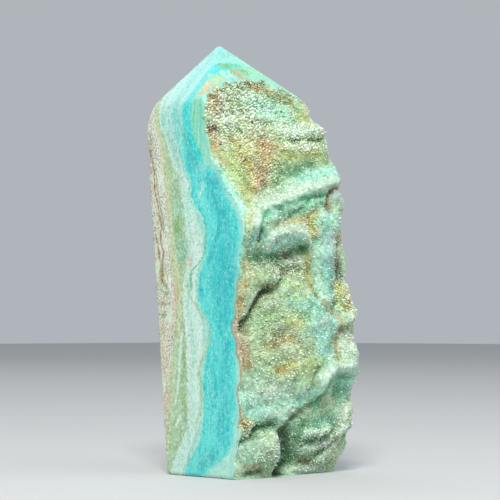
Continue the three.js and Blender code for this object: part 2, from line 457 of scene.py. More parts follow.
RIGHT_CREVICE: Line = ((31.8, 52.5), (30.4, 50.5), (29.6, 48.4), (29.7, 46.6), (29.2, 45), (28, 42.6))
PANEL_EDGE: Line = ((24.4, 53.5), (23.6, 51), (22.9, 47.9), (22.8, 44), (23, 41.3), (24, 39.4))
RIGHT_CREST: Line = ((36, 37), (33.2, 35.9), (30.9, 35.1), (29.6, 34.3))
RIGHT_GULLY: Line = ((30, 33.6), (29.1, 31.6), (27.6, 28.3), (26.8, 25.8))
DOME_CREASE: Line = ((20.6, 28.6), (23.4, 28), (25.4, 28.6), (26.8, 31))
LOW_LEDGE: Line = (
    (36, 27.6), (33.5, 26.2), (32.4, 24.9), (28.8, 24.2), (24.9, 24.2), (22.5, 23), (20.8, 21.4),
    (20.9, 19.2),
)
LOW_NOTCH: Line = ((24.6, 21.2), (23.8, 19.8), (22.5, 17.8), (20.7, 15.9))
LIP_GROOVE: Line = ((20.2, 24.4), (19, 22.5), (18.8, 20.2))
DOME_FOOT: Line = ((21.6, 17), (16.7, 15.3), (13.9, 13.5), (11.9, 11.8), (10.4, 10.4))
LEFT_GULLY: Line = ((8, 12), (5.7, 12), (4.1, 11.5), (3.4, 10), (2.2, 9), (0.9, 8.4), (-0.8, 8))
FOOT_VALLEY: Line = ((12.8, 10), (14, 7.2), (15.2, 5), (15, 3), (14.2, 1.4), (13.6, -1))
SLANT_RIDGE: Line = ((18.8, 9.4), (21.8, 9.7), (24.4, 10.3))
CROSS_RIDGE: Line = ((19.6, 5.8), (22.8, 6.3), (25.9, 7.4), (28.7, 9.2), (31.7, 10.7))
LOW_RIDGE: Line = ((24.8, 3.3), (27.1, 5.4), (30.2, 7.5))
BASE_RIDGE: Line = ((16.5, 1.2), (19.9, 1.6), (23.9, 1), (28.6, 1))
FOOT_HOLLOW: Line = ((18.1, 10.9), (20.4, 8), (23.9, 8.3), (27.4, 10.2))
ARCH: Line = (
    (6.6, 51), (7, 53), (8.4, 54.4), (10.8, 55.3), (14, 55.4), (16.6, 55), (18.8, 53.8), (20.8, 52.2),
)
BENCH: Line = ((24.4, 78.8), (28.3, 79.4), (31.7, 80.1), (36, 79.8))
UNDER_BENCH: Line = ((22, 76.7), (27.9, 77.5), (33.4, 78.4))
CRUST_LEFT: Line = ((-0.6, 83.5), (1.5, 86.6), (3.8, 88), (7.6, 90.5), (10.7, 91.8))


@dataclass
class GrownSide:
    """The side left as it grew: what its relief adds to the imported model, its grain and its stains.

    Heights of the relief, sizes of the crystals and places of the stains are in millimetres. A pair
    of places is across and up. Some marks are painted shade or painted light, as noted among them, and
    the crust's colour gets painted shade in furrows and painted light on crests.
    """

    inset: float = 0.34
    warp: float = 0.45
    ripples: tuple[Ripple, ...] = (Ripple(4.6, 3.7, 0.2, 0.16), Ripple(1.9, 21.9, 0.14, 0.2))
    rough_from: tuple[float, float] = (71.0, 76.0)  # heights where the rougher crust starts and is full
    calm_below: tuple[float, float] = (12.0, 9.0)
    calming: float = 0.6
    bare_calming: float = 0.8
    grit: float = 0.4  # in distances between crystals
    ribs: float = 0.35
    ribs_angle: float = 34.0
    ribs_size: tuple[float, float] = (5.0, 1.5)
    ribs_right_of: tuple[float, float] = (13.0, 17.0)
    ribs_below: tuple[float, float] = (15.0, 11.0)
    clumping: float = 0.75
    # share of painted light laid on crests, as pale ice
    crest_painted_light: float = 0.5
    plain_grain: float = 0.4
    ledge_grain: float = 0.36
    ledge_reach: float = 1.8
    grain_zones: tuple[tuple[tuple[float, float], tuple[float, float], float], ...] = (
        # middle, half size and the distance between crystals there
        ((12, 83), (15, 8), 0.6),
        ((28, 78), (7, 4), 0.52),
        ((12, 71), (6, 7), 0.54),
        ((11.5, 47), (9, 2.4), 0.48),
        ((22.6, 58), (4, 3), 0.46),
        ((27, 50), (5, 10), 0.4),
        ((31, 42), (4, 5), 0.5),
        ((9, 31), (9, 9), 0.44),
        ((31.6, 29), (3, 4), 0.46),
        ((9, 6), (5, 4), 0.44),
        ((2.4, 11.2), (2, 2), 0.56),
        ((24, 7), (9, 6), 0.45),
    )
    folds: tuple[Fold, ...] = (
        Fold(MAIN_LEDGE, 0.7, 2.0, 1.3),
        Fold(LEDGE_HOOK, 0.6, 1.0, 0.8),
        Fold(LEDGE_CREST, 0.35, 0.9, 0.8),
        Fold(UNDER_LEDGE, 1.6, 1.5, 2.0),
        Fold(((7.8, 59), (6.8, 56.2), (6.9, 54), (7, 52.6)), 1.0, 1.3, 1.3),
        Fold(LEDGE_SHADE, -0.45, 0.7, 0.8),
        Fold(SHELF_CLEFT, -0.5, 0.5, 0.6),
        Fold(SLIT, -0.5, 0.5, 0.5),
        Fold(UPPER_VALLEY, 0.5, 1.7, 1.5),
        Fold(SHARD_CRACK, -0.6, 0.4, 0.4),
        Fold(((-0.5, 49.6), (4, 49.1), (8, 48.7), (11.4, 49)), 1.0, 1.0, 1.8),
        Fold(((17.4, 51), (19.4, 51.2), (21.6, 51)), 0.9, 0.9, 1.6),
        Fold(ARCH, 0.9, 1.3, 1.0),
        Fold(SUGAR_RIDGE, 0.35, 1.1, 1.1),
        Fold(CREVICE, -0.9, 0.9, 1.3),
        Fold(COMB_LIP, 0.35, 0.6, 0.5),
        Fold(RIGHT_CREVICE, -1.3, 0.9, 1.1),
        Fold(RIGHT_CREST, 0.8, 1.0, 0.8),
        Fold(RIGHT_GULLY, 0.1, 0.7, 0.7),
        Fold(DOME_CREASE, -0.35, 0.7, 0.7),
        Fold(LOW_LEDGE, 0.8, 1.6, 1.1),
        Fold(((36, 21), (31, 21), (26, 20.6), (24, 19)), 0.8, 1.2, 1.8),
        Fold(LOW_NOTCH, -0.3, 0.6, 0.6),
        Fold(LIP_GROOVE, -0.35, 0.4, 0.4),
        Fold(((26, 19.4), (22, 16.6), (18.4, 14.6), (15, 12.6)), 0.8, 0.9, 1.6),
        Fold(((2.8, 12.6), (6, 12.3), (9, 11.6)), 0.7, 0.9, 1.2),
        Fold(LEFT_GULLY, -1.4, 0.9, 1.1),
        Fold(FOOT_VALLEY, -1.9, 2.1, 2.1),
        Fold(SLANT_RIDGE, 1.2, 0.9, 0.9),
        Fold(CROSS_RIDGE, 1.3, 0.9, 0.9),
        Fold(LOW_RIDGE, 1.0, 0.8, 0.8),
        Fold(FOOT_HOLLOW, -0.7, 0.9, 0.9),
        Fold(BASE_RIDGE, 0.5, 0.8, 0.7),
        Fold(BENCH, 0.75, 0.9, 0.8),
        Fold(UNDER_BENCH, -0.5, 0.7, 0.7),
        Fold(((20, 75.9), (24, 75.7), (27.2, 75.8), (30.8, 76.6)), 0.4, 0.8, 0.7),
        Fold(((13.4, 80.8), (16.7, 81), (20.6, 81.4)), -0.4, 0.6, 0.6),
    )
    lumps: tuple[Lump, ...] = (
        Lump((2.7, 78.4), (0.9, 0.8), -1.0),
        Lump((21.3, 89.6), (1.2, 0.7), -0.4),
        Lump((28, 87.4), (2.6, 0.9), -0.35),
        Lump((4.4, 85.6), (3.2, 2.2), 0.3),
        Lump((7.5, 89), (0.9, 0.75), 0.4, 3),
        Lump((10.8, 73.8), (2.4, 1.2), 0.4, 3),
        Lump((31.9, 63.8), (1.7, 1.6), 0.25, 2),
        Lump((1.6, 52.6), (2.0, 2.8), 0.3),
        Lump((8.8, 51), (2.4, 1.5), 0.5),
        Lump((16.6, 52), (2.8, 1.1), -0.55),
        Lump((8.4, 44), (2, 1.3), 0.6),
        Lump((11, 42.4), (1.8, 1.0), 0.9),
        Lump((12.6, 42.4), (1.8, 1.2), 0.6),
        Lump((16.9, 46.8), (1.3, 0.7), -0.4),
        Lump((18.6, 47.8), (0.9, 0.8), 0.4),
        Lump((7.2, 44.5), (2.7, 1.4), 0.5, 3),
        Lump((16.4, 43.8), (3.4, 1.5), 0.4),
        Lump((26.4, 49.6), (3.6, 9.6), 0.5, 4),
        Lump((21.5, 40.5), (0.7, 0.7), -0.5),
        Lump((30.6, 41), (2.6, 3), 0.4),
        Lump((31.6, 28.6), (2.4, 3), 0.3),
        Lump((18.9, 21.3), (0.7, 0.8), -0.15),
        Lump((1.6, 11), (0.8, 1.2), -0.6),
        Lump((2.5, 10.7), (0.6, 0.7), 0.5),
        Lump((11.6, 10.8), (2.6, 2.4), 1.9),
        Lump((9, 6), (3.9, 3.4), 0.8, 3),
        Lump((25, 17.6), (1.8, 1.5), 0.4),
        Lump((4.8, 1.5), (2.2, 0.8), -0.6),
        Lump((21.2, 3.2), (3.2, 1.2), -0.4),
    )
    smooth_zones: tuple[Lump, ...] = (
        Lump((0.8, 64), (2.4, 7), 0.9, 4),
        Lump((10.8, 73.8), (2.1, 1.0), 0.85, 3),
        Lump((7.5, 89), (0.9, 0.75), 1.0, 4),
        Lump((7.4, 44.4), (2.3, 1.2), 0.85, 3),
        Lump((13.6, 19.5), (1.6, 1.2), 0.5, 3),
        Lump((-0.6, 6), (1.4, 4), 0.8, 3),
        Lump((0.1, 49), (0.9, 4.4), 0.85, 4),
    )
    marks: tuple[Spot | Streak, ...] = (
        # the broad ground colours
        Spot(Tint.CREAM_SUGAR, (11, 81), (14, 8), 0.6),
        Spot(Tint.AQUA, (25, 84.6), (8, 5), 0.55),
        Spot(Tint.CREAM_SUGAR, (25, 77), (12, 3.4), 0.7),
        Spot(Tint.LIME, (6.4, 71.6), (6.4, 8.4), 0.8),
        Spot(Tint.GREEN_SUGAR, (26, 72), (10, 3.4), 0.7),
        Spot(Tint.AQUA, (27, 68.4), (11, 2.6), 0.85, 8),
        Spot(Tint.CREAM_SUGAR, (11, 58), (8.4, 2.6), 0.8),
        Spot(Tint.ICE, (12, 59), (8, 1.6), 0.5, 8),
        Spot(Tint.GREEN_SUGAR, (11, 47), (11, 3.6), 0.8),
        Spot(Tint.DRAB, (10, 49), (10, 2), 0.75, 6),
        Spot(Tint.CREAM_SUGAR, (17, 43.6), (6, 4), 0.7),
        Spot(Tint.GREEN_SUGAR, (9, 30), (12, 12), 0.6),
        Spot(Tint.LIME, (14.4, 23.6), (7, 4.6), 0.6),
        Spot(Tint.AQUA, (22.4, 33), (8, 8), 0.95),
        Spot(Tint.FROST, (24, 33), (5, 5), 0.55),
        # the dome's pale bottom: partly its own icy colour, partly painted light where it is lit
        Spot(Tint.AQUA, (9, 17.4), (10, 5), 0.95, -8),
        Spot(Tint.ICE, (8, 17), (11, 4.6), 0.85, -8),
        Spot(Tint.FROST, (7.4, 15.8), (8, 3), 0.85, -6),
        Spot(Tint.ICE, (8, 17.4), (9, 3), 0.7, -6),
        Spot(Tint.GLINT, (9, 18.8), (8, 2.4), 0.6, -6),
        Spot(Tint.AQUA, (8, 16.8), (8, 3.2), 0.5, -6),
        Spot(Tint.CREAM_SUGAR, (11, 29.4), (7, 5), 0.8),
        Spot(Tint.GLINT, (31, 29), (4, 6), 0.7),
        Spot(Tint.SPRING, (24, 7), (13, 9), 0.7),
        Spot(Tint.SEA_GREEN, (23, 8), (10, 7), 0.35),
        Spot(Tint.VALLEY_GREEN, (19, 6), (6, 5), 0.4),
        # under the tip
        Spot(Tint.MOSS, (9.9, 86.6), (3.4, 2), 0.6),
        Spot(Tint.MOSS, (12.4, 84.4), (2.4, 1.4), 0.7, 20),
        Spot(Tint.GREEN_SUGAR, (13.6, 81), (4, 1.4), 0.7),
        Spot(Tint.GLINT, (7.4, 81), (3.6, 3.4), 0.6),
        Spot(Tint.AQUA, (20, 85.4), (5, 2.4), 0.75, -16),
        Spot(Tint.GLINT, (18.4, 86), (3.4, 1.2), 0.5, -14),
        Spot(Tint.AMBER, (3.2, 85.4), (3.2, 3), 0.95, 24),
        Spot(Tint.UMBER, (4.4, 86), (1.8, 1.3), 0.8, 20),
        Spot(Tint.HONEY, (7, 90.2), (2.4, 1), 0.7),
        Streak(Tint.HONEY, CRUST_LEFT, 0.7, 0.8),
        Streak(Tint.OCHRE, (
            (13.4, 92.2), (16.1, 91.6), (18, 91), (20.5, 90.4), (23.3, 89.7), (26.9, 88.8), (30, 87.6),
        ), 0.7, 0.95),
        Spot(Tint.LEAF, (7.5, 89), (1.2, 0.9), 0.95),
        Spot(Tint.MOSS, (27.3, 87.6), (4.2, 1.3), 0.9, -18),
        Spot(Tint.OLIVE, (28.4, 87.3), (2.6, 0.8), 0.6, -18),
        Spot(Tint.OCHRE, (21.3, 89.8), (1.6, 0.8), 0.8),
        Spot(Tint.LIME, (30.6, 83.4), (2.4, 3), 0.8),
        Streak(Tint.HONEY, ((33.4, 87.4), (33.1, 84.1), (32.4, 81.6)), 0.8, 0.8),
        Streak(Tint.OLIVE, ((15, 81.3), (18.6, 81.3), (20.6, 81.2)), 0.7, 0.8),
        Spot(Tint.MOSS, (22.8, 76.9), (2, 0.9), 0.8),
        Streak(Tint.GLINT, BENCH, 1.5),
        Streak(Tint.GREEN_SUGAR, UNDER_BENCH, 0.8, 0.7),
        Spot(Tint.GLINT, (26.6, 75.6), (5, 1.1), 0.8, 4),
        Spot(Tint.TAN, (14.6, 79), (3.6, 1.3), 0.45),
        Streak(Tint.UMBER, ((11.6, 77.6), (15.4, 78), (17.6, 78.2)), 0.5, 0.55),
        # the brown hole and the tan crystals below it
        Spot(Tint.AMBER, (1.9, 76.4), (1.9, 3.4)),
        Spot(Tint.UMBER, (2.2, 77.9), (1.6, 1.2), 0.8),
        Spot(Tint.DARK_BROWN, (2.8, 78.5), (1, 0.8), 0.9),
        Streak(Tint.AMBER, ((1.1, 74.6), (1.4, 72.2), (2.6, 70.8)), 0.9, 0.8),
        Spot(Tint.CREAM_SUGAR, (4, 74.6), (1.9, 2), 0.7),
        Spot(Tint.HONEY, (8, 75.8), (1.7, 1.1)),
        Spot(Tint.HONEY, (7.8, 72.2), (2, 1.3), 0.8),
        Spot(Tint.HONEY, (16, 75.6), (4.4, 1.7), 0.85, -6),
        Spot(Tint.YELLOW, (20, 74.6), (6, 1.6), 0.5),
        Streak(Tint.AMBER, (
            (17.4, 75.6), (15.8, 73.6), (13.6, 70.8), (12, 68.2), (10.4, 65.8), (8.6, 63.8),
        ), 2.6, 0.95),
        Streak(Tint.TAN, ((16.6, 74.6), (13.6, 70.8), (12, 68.2), (10.4, 65.8), (8.6, 63.8)), 1.8, 0.6),
        Streak(Tint.HONEY, ((10.6, 71.4), (9, 67.6), (6.6, 64.4)), 1.6, 0.6),
        Spot(Tint.YELLOW, (10.8, 73.8), (2.7, 1.4), 0.95),
        Streak(Tint.MOSS, ((18.8, 74), (24, 74), (29, 74.2), (34, 75.6)), 1.1, 0.7),
        Streak(Tint.YELLOW, ((17, 72.6), (22, 73.2), (27, 73.6), (31, 74.6)), 0.9, 0.7),
        Streak(Tint.LEAF, ((5.2, 69), (6.4, 66.8), (6.6, 64.6)), 1, 0.45),
        Streak(Tint.UMBER, ((12.6, 67.2), (10.4, 64.8), (9, 63.8)), 0.9, 0.6),
        Streak(Tint.OLIVE, ((14.6, 65.4), (11.4, 63), (7.6, 61.7)), 0.9, 0.75),
        Streak(Tint.MOSS, UPPER_VALLEY, 1.8, 0.6),
        # painted shade in the valley above the main ledge
        Streak(Tint.VALLEY_GREEN, ((15.8, 67), (19.4, 68.6), (24.4, 70.8), (27.6, 72)), 1.1, 0.7),
        Streak(Tint.AQUA, ((22.6, 67.6), (28.2, 69.2), (36, 71)), 1.4, 0.8),
        # the smooth ramp beside the polish
        Streak(Tint.MINT, ((-1, 71), (0.8, 67), (1.0, 62), (0.4, 57)), 1.9, 0.9),
        Streak(Tint.LIGHT_TURQUOISE, ((0, 69.4), (-0.2, 65.3), (-0.4, 62), (-0.6, 58)), 0.9, 0.7),
        Streak(Tint.YELLOW, ((4.6, 65), (4, 62), (2.8, 59.4), (1.2, 57), (0.8, 54)), 0.8, 0.75),
        # the main ledge and what lies under it
        Streak(Tint.AQUA, MAIN_LEDGE, 2.0, 0.95),
        # painted shade under the main ledge
        Streak(Tint.SEA_GREEN, UNDER_LEDGE, 1.1, 0.65),
        # the white crest: its own pale crystals, with painted light where the crest is lit
        Streak(Tint.GLINT, (
            (33, 68.2), (30, 67.7), (25, 66), (19.6, 64.2), (15.1, 62.7), (11.5, 61.6),
        ), 1.1, 0.85),
        Streak(Tint.ICE, LEDGE_CREST, 1.7, 0.7),
        Streak(Tint.GREEN_SUGAR, ((9, 63.6), (13, 65), (17, 66.4), (21, 67.6)), 0.9, 0.6),
        Streak(Tint.GLINT, LEDGE_CREST, 0.9, 0.7),
        Streak(Tint.GLINT, LEDGE_HOOK, 0.9),
        # painted shade in the grooves below the crest
        Streak(Tint.JADE, LEDGE_SHADE, 0.9),
        Streak(Tint.JADE, SHELF_CLEFT, 0.8, 0.8),
        Streak(Tint.RUST, ((33.6, 66.4), (31, 65.3), (29.6, 63.6), (29.2, 62.4), (28.9, 60.8)), 1.0, 0.75),
        Spot(Tint.RUST, (29.2, 61.8), (1.1, 1.2)),
        Streak(Tint.UMBER, ((33.6, 66.4), (31, 65.3), (29.4, 63.8), (28.9, 62.4), (28.7, 60.6)), 0.6, 0.9),
        Spot(Tint.LAVENDER, (31.9, 64), (1.5, 1.4), 0.9),
        Spot(Tint.YELLOW, (9.4, 55.8), (2, 1), 0.6, -8),
        Streak(Tint.HONEY, ((25.4, 60.2), (21.7, 59), (17.3, 57.9), (13.9, 57.3), (10.6, 56.4)), 0.8),
        Spot(Tint.AMBER, (22.9, 59.3), (2.2, 1.2), 0.8, 20),
        Spot(Tint.YELLOW, (22.6, 56.2), (2.2, 1.8), 0.9, -20),
        Spot(Tint.OCHRE, (24.2, 54.9), (0.9, 0.8), 0.7),
        Spot(Tint.TEAL, (1.7, 52.8), (2.4, 3.2)),
        Spot(Tint.FROST, (12.6, 53.8), (6.6, 2.4), 0.85, 4),
        Spot(Tint.FROST, (7.6, 51.4), (2.6, 1.8)),
        Streak(Tint.GLINT, ARCH, 1.1, 0.75),
        Streak(Tint.DARK_OLIVE, SLIT, 0.5, 0.75),
        # painted shade under the arch lump and in the valley below it
        Streak(Tint.SEA_GREEN, ((14.4, 52.2), (17, 52.4), (19.6, 51.8)), 1.0),
        Streak(Tint.VALLEY_GREEN, ((14.6, 51.2), (17, 51.6), (19.4, 51.4)), 1.0, 0.8),
        Streak(Tint.SEA_GREEN, ((2.6, 49.4), (6.8, 49), (10.4, 49.2)), 1.2, 0.75),
        Streak(Tint.VALLEY_GREEN, ((8.4, 48.8), (11.4, 49.4), (14.2, 50.8)), 1.2, 0.75),
        Streak(Tint.OLIVE, ((10.8, 48.8), (13.4, 49.6)), 0.9, 0.6),
        Streak(Tint.DRAB, SUGAR_RIDGE, 1.7, 0.55),
        Spot(Tint.GLINT, (16.4, 48.8), (2.2, 1), 0.5, 24),
        Streak(Tint.OLIVE, ((6, 46), (10, 46.2), (14, 46.4)), 0.9, 0.4),
        Spot(Tint.GLINT, (18.6, 47.9), (0.9, 0.8), 0.8),
        Spot(Tint.OLIVE, (16.9, 46.6), (1.4, 0.7), 0.7),
        Streak(Tint.HONEY, ((2.6, 47.6), (1.4, 45.2), (1.6, 43)), 1.2, 0.6),
        Streak(Tint.LIGHT_TURQUOISE, ((-0.4, 54), (0, 50), (0.1, 47), (-0.3, 44)), 0.9),
        Streak(Tint.KHAKI, ((1.4, 58.4), (0.9, 55), (0.9, 51.6), (1.4, 48.4)), 0.5, 0.7),
        Streak(Tint.YELLOW, ((20.1, 49.2), (20.4, 47.2), (20.6, 45.2), (21.3, 42.6)), 1.3, 0.95),
        Streak(Tint.HONEY, ((20.9, 48), (21, 45), (21.4, 42)), 0.6, 0.7),
        Spot(Tint.UMBER, (21.5, 40.5), (0.8, 0.7)),
        # the upright panel
        Spot(Tint.MIST, (26.2, 49.4), (3.6, 10), 0.9, 4),
        Spot(Tint.LAVENDER, (27, 52.6), (2.4, 5), 0.65, 4),
        Spot(Tint.AQUA, (29, 58.4), (3.4, 2.4), 0.8),
        Streak(Tint.TEAL, ((26.6, 58.4), (26, 55.6)), 1.1, 0.55),
        Streak(Tint.TEAL, ((26.4, 46.4), (26, 43), (25, 41)), 1.0, 0.7),
        Streak(Tint.ICE, PANEL_EDGE, 0.9, 0.9),
        Streak(Tint.ICE, ((31.4, 60.4), (30.9, 56.4), (29.8, 51.6), (28.2, 49)), 0.9),
        Streak(Tint.YELLOW, ((22.8, 58.8), (22.4, 56.8), (22.6, 54.6)), 1.2, 0.9),
        Spot(Tint.OCHRE, (23.6, 55.6), (0.8, 0.9), 0.7),
        Streak(Tint.WARM_GREY, ((33, 55), (32, 51.5), (31.6, 48.4)), 1.4, 0.8),
        Spot(Tint.AMBER, (33.4, 54.6), (1, 1.4), 0.7),
        # painted shadow in the right crevice and beside the panel
        Streak(Tint.DARK_OLIVE, ((29.2, 48.6), (28.8, 46.4), (28.2, 44.4), (27.6, 43)), 0.9),
        Spot(Tint.PAINTED_SHADOW, (31.6, 47.2), (2, 3.2), 0.9),
        Spot(Tint.DARK_OLIVE, (32.4, 47), (1.6, 2.6), 0.55),
        # the yellow lip over the crevice
        Spot(Tint.CREAM_SUGAR, (2.9, 45.6), (2.2, 2.2), 0.6),
        Spot(Tint.LIME, (7.2, 44.5), (3, 1.5)),
        Spot(Tint.CREAM_SUGAR, (7, 44.8), (2.2, 1.1), 0.6),
        Spot(Tint.SPRING, (6.6, 44), (1.7, 0.8), 0.6),
        Spot(Tint.MOSS, (7.8, 43.2), (1.3, 0.5), 0.5),
        Spot(Tint.OCHRE, (9.4, 43.4), (0.7, 0.7)),
        Spot(Tint.LIME, (15.4, 43), (3, 1), 0.6),
        Streak(Tint.AMBER, ((1.4, 43), (1, 40.6), (0.6, 38), (0, 35)), 0.8, 0.9),
        Streak(Tint.GLINT, COMB_LIP, 0.6, 0.8),
        # painted shade in the crevice, on its olive colour
        Streak(Tint.OLIVE, CREVICE, 1.7, 0.9),
        Streak(Tint.DARK_OLIVE, CREVICE, 0.8, 0.6),
        Spot(Tint.YELLOW, (30.8, 41), (2.8, 3.2), 0.9),
        Spot(Tint.HONEY, (31.4, 40.2), (1.8, 2.4), 0.7),
        Spot(Tint.LAVENDER, (25.6, 38.6), (1.8, 1.0), 0.6),
        Streak(Tint.HONEY, ((22.6, 39.6), (25, 37.8), (27.4, 36.2)), 0.6, 0.7),
        Streak(Tint.GLINT, RIGHT_CREST, 1.3),
        # the great dome
        Streak(Tint.AQUA, ((13, 40.6), (16.8, 39), (20.6, 38.6)), 1.5),
        Streak(Tint.LIME, ((11.6, 41.2), (14.6, 40.4), (17.4, 40.6)), 0.8, 0.6),
        Spot(Tint.MOSS, (6.4, 37.6), (3.6, 2.6), 0.8, 30),
        Spot(Tint.GREEN_SUGAR, (5.4, 34.8), (3, 2.4), 0.6),
        Spot(Tint.GLINT, (9, 39.2), (2, 0.7), 0.5, 16),
        Spot(Tint.LEAF, (16.8, 35.8), (3.6, 1.2), 0.6),
        Spot(Tint.YELLOW, (13.6, 34.6), (3, 1.6), 0.75),
        Spot(Tint.OLIVE, (10.4, 33), (3.4, 1.1), 0.5, 10),
        Spot(Tint.GLINT, (23.4, 35), (3, 2), 0.45),
        Streak(Tint.TEAL, DOME_CREASE, 0.8, 0.5),
        Spot(Tint.OLIVE, (9.4, 31), (5, 1.7), 0.5, 8),
        Spot(Tint.OCHRE, (7.2, 29.8), (1.5, 1.1), 0.8),
        Spot(Tint.HONEY, (11.3, 30.8), (2.2, 1)),
        Spot(Tint.MOSS, (8.4, 27.2), (2.6, 1.5), 0.7, -30),
        Spot(Tint.MOSS, (16.4, 29.4), (3.2, 1.7), 0.7),
        Spot(Tint.CREAM_SUGAR, (13.4, 27), (3.4, 1.4), 0.6),
        Spot(Tint.HONEY, (9.4, 24), (2.6, 1.2)),
        Spot(Tint.OCHRE, (8.6, 24.2), (1.1, 0.7), 0.6),
        Spot(Tint.YELLOW, (12, 25.4), (2.2, 1), 0.7),
        Spot(Tint.LIME, (18, 25.4), (2.8, 1.6), 0.8),
        Spot(Tint.AMBER, (0.4, 28.2), (1.6, 4.4), 0.7),
        Spot(Tint.ROSE_TAN, (0.8, 27.4), (1.6, 3.4), 0.8),
        Spot(Tint.OCHRE, (1.2, 25.4), (1.0, 1.2), 0.6),
        Spot(Tint.UMBER, (1.6, 33.4), (1, 1.6), 0.8),
        Spot(Tint.CREAM_SUGAR, (7.2, 21), (4.2, 1.8), 0.6),
        Spot(Tint.LEAF, (13.6, 19.5), (1.8, 1.4), 0.7),
        # painted light on the dome's lit lower slope
        Spot(Tint.GLINT, (6, 18.6), (3.6, 1.6), 0.5, -20),
        Spot(Tint.GLINT, (9.6, 14.6), (4.4, 1.4), 0.6, 6),
        Spot(Tint.AQUA, (16.6, 17.2), (3.2, 1.7), 0.8, 20),
        Streak(Tint.OLIVE, LIP_GROOVE, 0.6, 0.7),
        Spot(Tint.OCHRE, (18.9, 21.3), (0.6, 0.7), 0.6),
        Streak(Tint.MOSS, ((19.2, 16.6), (17.4, 15.6), (15.6, 15)), 0.7, 0.6),
        Streak(Tint.HONEY, ((27.2, 37.2), (28.5, 36), (29, 33.4), (28, 30), (27.6, 26.2)), 0.9, 0.9),
        Streak(Tint.OCHRE, ((28.2, 30.4), (27.7, 28.4), (27.4, 26.2)), 0.7),
        Spot(Tint.DARK_OLIVE, (28.8, 32.8), (0.8, 1.3)),
        Spot(Tint.GLINT, (31.6, 29.6), (2.6, 3.4), 0.8),
        Spot(Tint.MOSS, (31.8, 33.2), (1.6, 1), 0.7),
        # the low ledge's crest: its own pale crystals, with painted light where it is lit
        Streak(Tint.AQUA, LOW_LEDGE, 2.0, 0.95),
        Streak(Tint.GLINT, ((33.1, 26.4), (29.9, 25), (24.9, 24.7), (21.9, 23), (20.6, 20.8)), 1.5, 0.8),
        # foot
        Spot(Tint.MIST, (30, 20), (5.4, 3.2), 0.8),
        # painted shade just under the low ledge
        Spot(Tint.SEA_GREEN, (28.4, 21.8), (4, 0.9), 0.6),
        Spot(Tint.AQUA, (32.6, 21.6), (1.6, 1.4), 0.6),
        # painted shade in the notch under the low ledge
        Streak(Tint.JADE, LOW_NOTCH, 1.0, 0.9),
        Spot(Tint.CREAM_SUGAR, (25, 17.4), (2.2, 2), 0.9),
        Spot(Tint.SEA_GREEN, (29.6, 16.8), (3, 1.2), 0.6),
        Spot(Tint.GLINT, (31.8, 14.4), (2.6, 1.6), 0.75),
        # painted shade under the dome's foot, in the notch, under the low ledge's right end and in the left
        # gully
        Streak(Tint.VALLEY_GREEN, DOME_FOOT, 0.8, 0.6),
        Streak(Tint.OLIVE, ((20.4, 15.8), (17.1, 14.6), (13.8, 13), (11, 11.6), (10.2, 9.2)), 0.7),
        Streak(Tint.JADE, ((23.8, 20), (22.6, 18.2), (21.2, 16.4)), 1.2, 0.9),
        Streak(Tint.SEA_GREEN, ((26.6, 18.6), (29, 18.4), (30.6, 19.6)), 1.2, 0.7),
        Streak(Tint.VALLEY_GREEN, LEFT_GULLY, 1.7, 0.95),
        Spot(Tint.VALLEY_GREEN, (7.4, 11.6), (4.4, 1.2), 0.7),
        Spot(Tint.HONEY, (1.5, 11.7), (1.7, 2), 0.9),
        Spot(Tint.UMBER, (1.7, 10.9), (0.8, 1.2), 0.9),
        Spot(Tint.GLINT, (2.6, 10.4), (0.6, 0.7), 0.8),
        Spot(Tint.LIME, (8.6, 5.4), (4.4, 3.6), 0.45),
        Spot(Tint.CREAM_SUGAR, (8.6, 6), (4.6, 3.6), 0.75),
        # painted light on the foot lump's lit top
        Spot(Tint.GLINT, (7.4, 6.8), (3.6, 2.2), 0.5),
        Spot(Tint.SEA_GREEN, (9.4, 3.6), (4.6, 1.8), 0.4),
        Spot(Tint.TEAL, (8.4, 4.6), (5, 3.2), 0.35),
        Spot(Tint.ICE, (2, 5), (3, 3.6), 0.9),
        Streak(Tint.AMBER, ((1.8, 3.1), (5.9, 2.7)), 0.5, 0.7),
        Spot(Tint.DARK_BROWN, (5.2, 1.4), (2.4, 0.9)),
        # painted shade in the foot valley and the hollows beside it
        Streak(Tint.VALLEY_GREEN, FOOT_VALLEY, 2.4, 0.95),
        Streak(Tint.PAINTED_SHADOW, FOOT_VALLEY, 1.4, 0.7),
        Streak(Tint.VALLEY_GREEN, ((17.4, 10.4), (16.4, 7.6), (16.4, 4.6), (18.6, 2.6)), 1.3, 0.55),
        Streak(Tint.SEA_GREEN, FOOT_HOLLOW, 1.3),
        Spot(Tint.TEAL, (23.4, 12.2), (3.4, 1.2), 0.85, 10),
        Spot(Tint.OLIVE, (21, 3.2), (3, 1.1), 0.75),
        Spot(Tint.VALLEY_GREEN, (24.6, 4.8), (2.4, 0.9), 0.5, 30),
        Spot(Tint.GREY_GREEN, (18, 12.4), (2.6, 1.6), 0.7),
        Spot(Tint.GLINT, (30.4, 12.8), (3.4, 2), 0.8, 30),
        Spot(Tint.GLINT, (27.6, 8.2), (4.2, 1.5), 0.6, 30),
        Spot(Tint.CREAM_SUGAR, (31, 4.6), (3.4, 3), 0.6),
        Streak(Tint.GLINT, SLANT_RIDGE, 1.1, 0.9),
        Streak(Tint.GLINT, CROSS_RIDGE, 1.1),
        Streak(Tint.GLINT, LOW_RIDGE, 0.9, 0.8),
        Streak(Tint.HONEY, ((26.6, 6.4), (28.5, 7.4), (30, 8.2)), 0.6, 0.6),
        Streak(Tint.GLINT, BASE_RIDGE, 0.9, 0.8),
    )

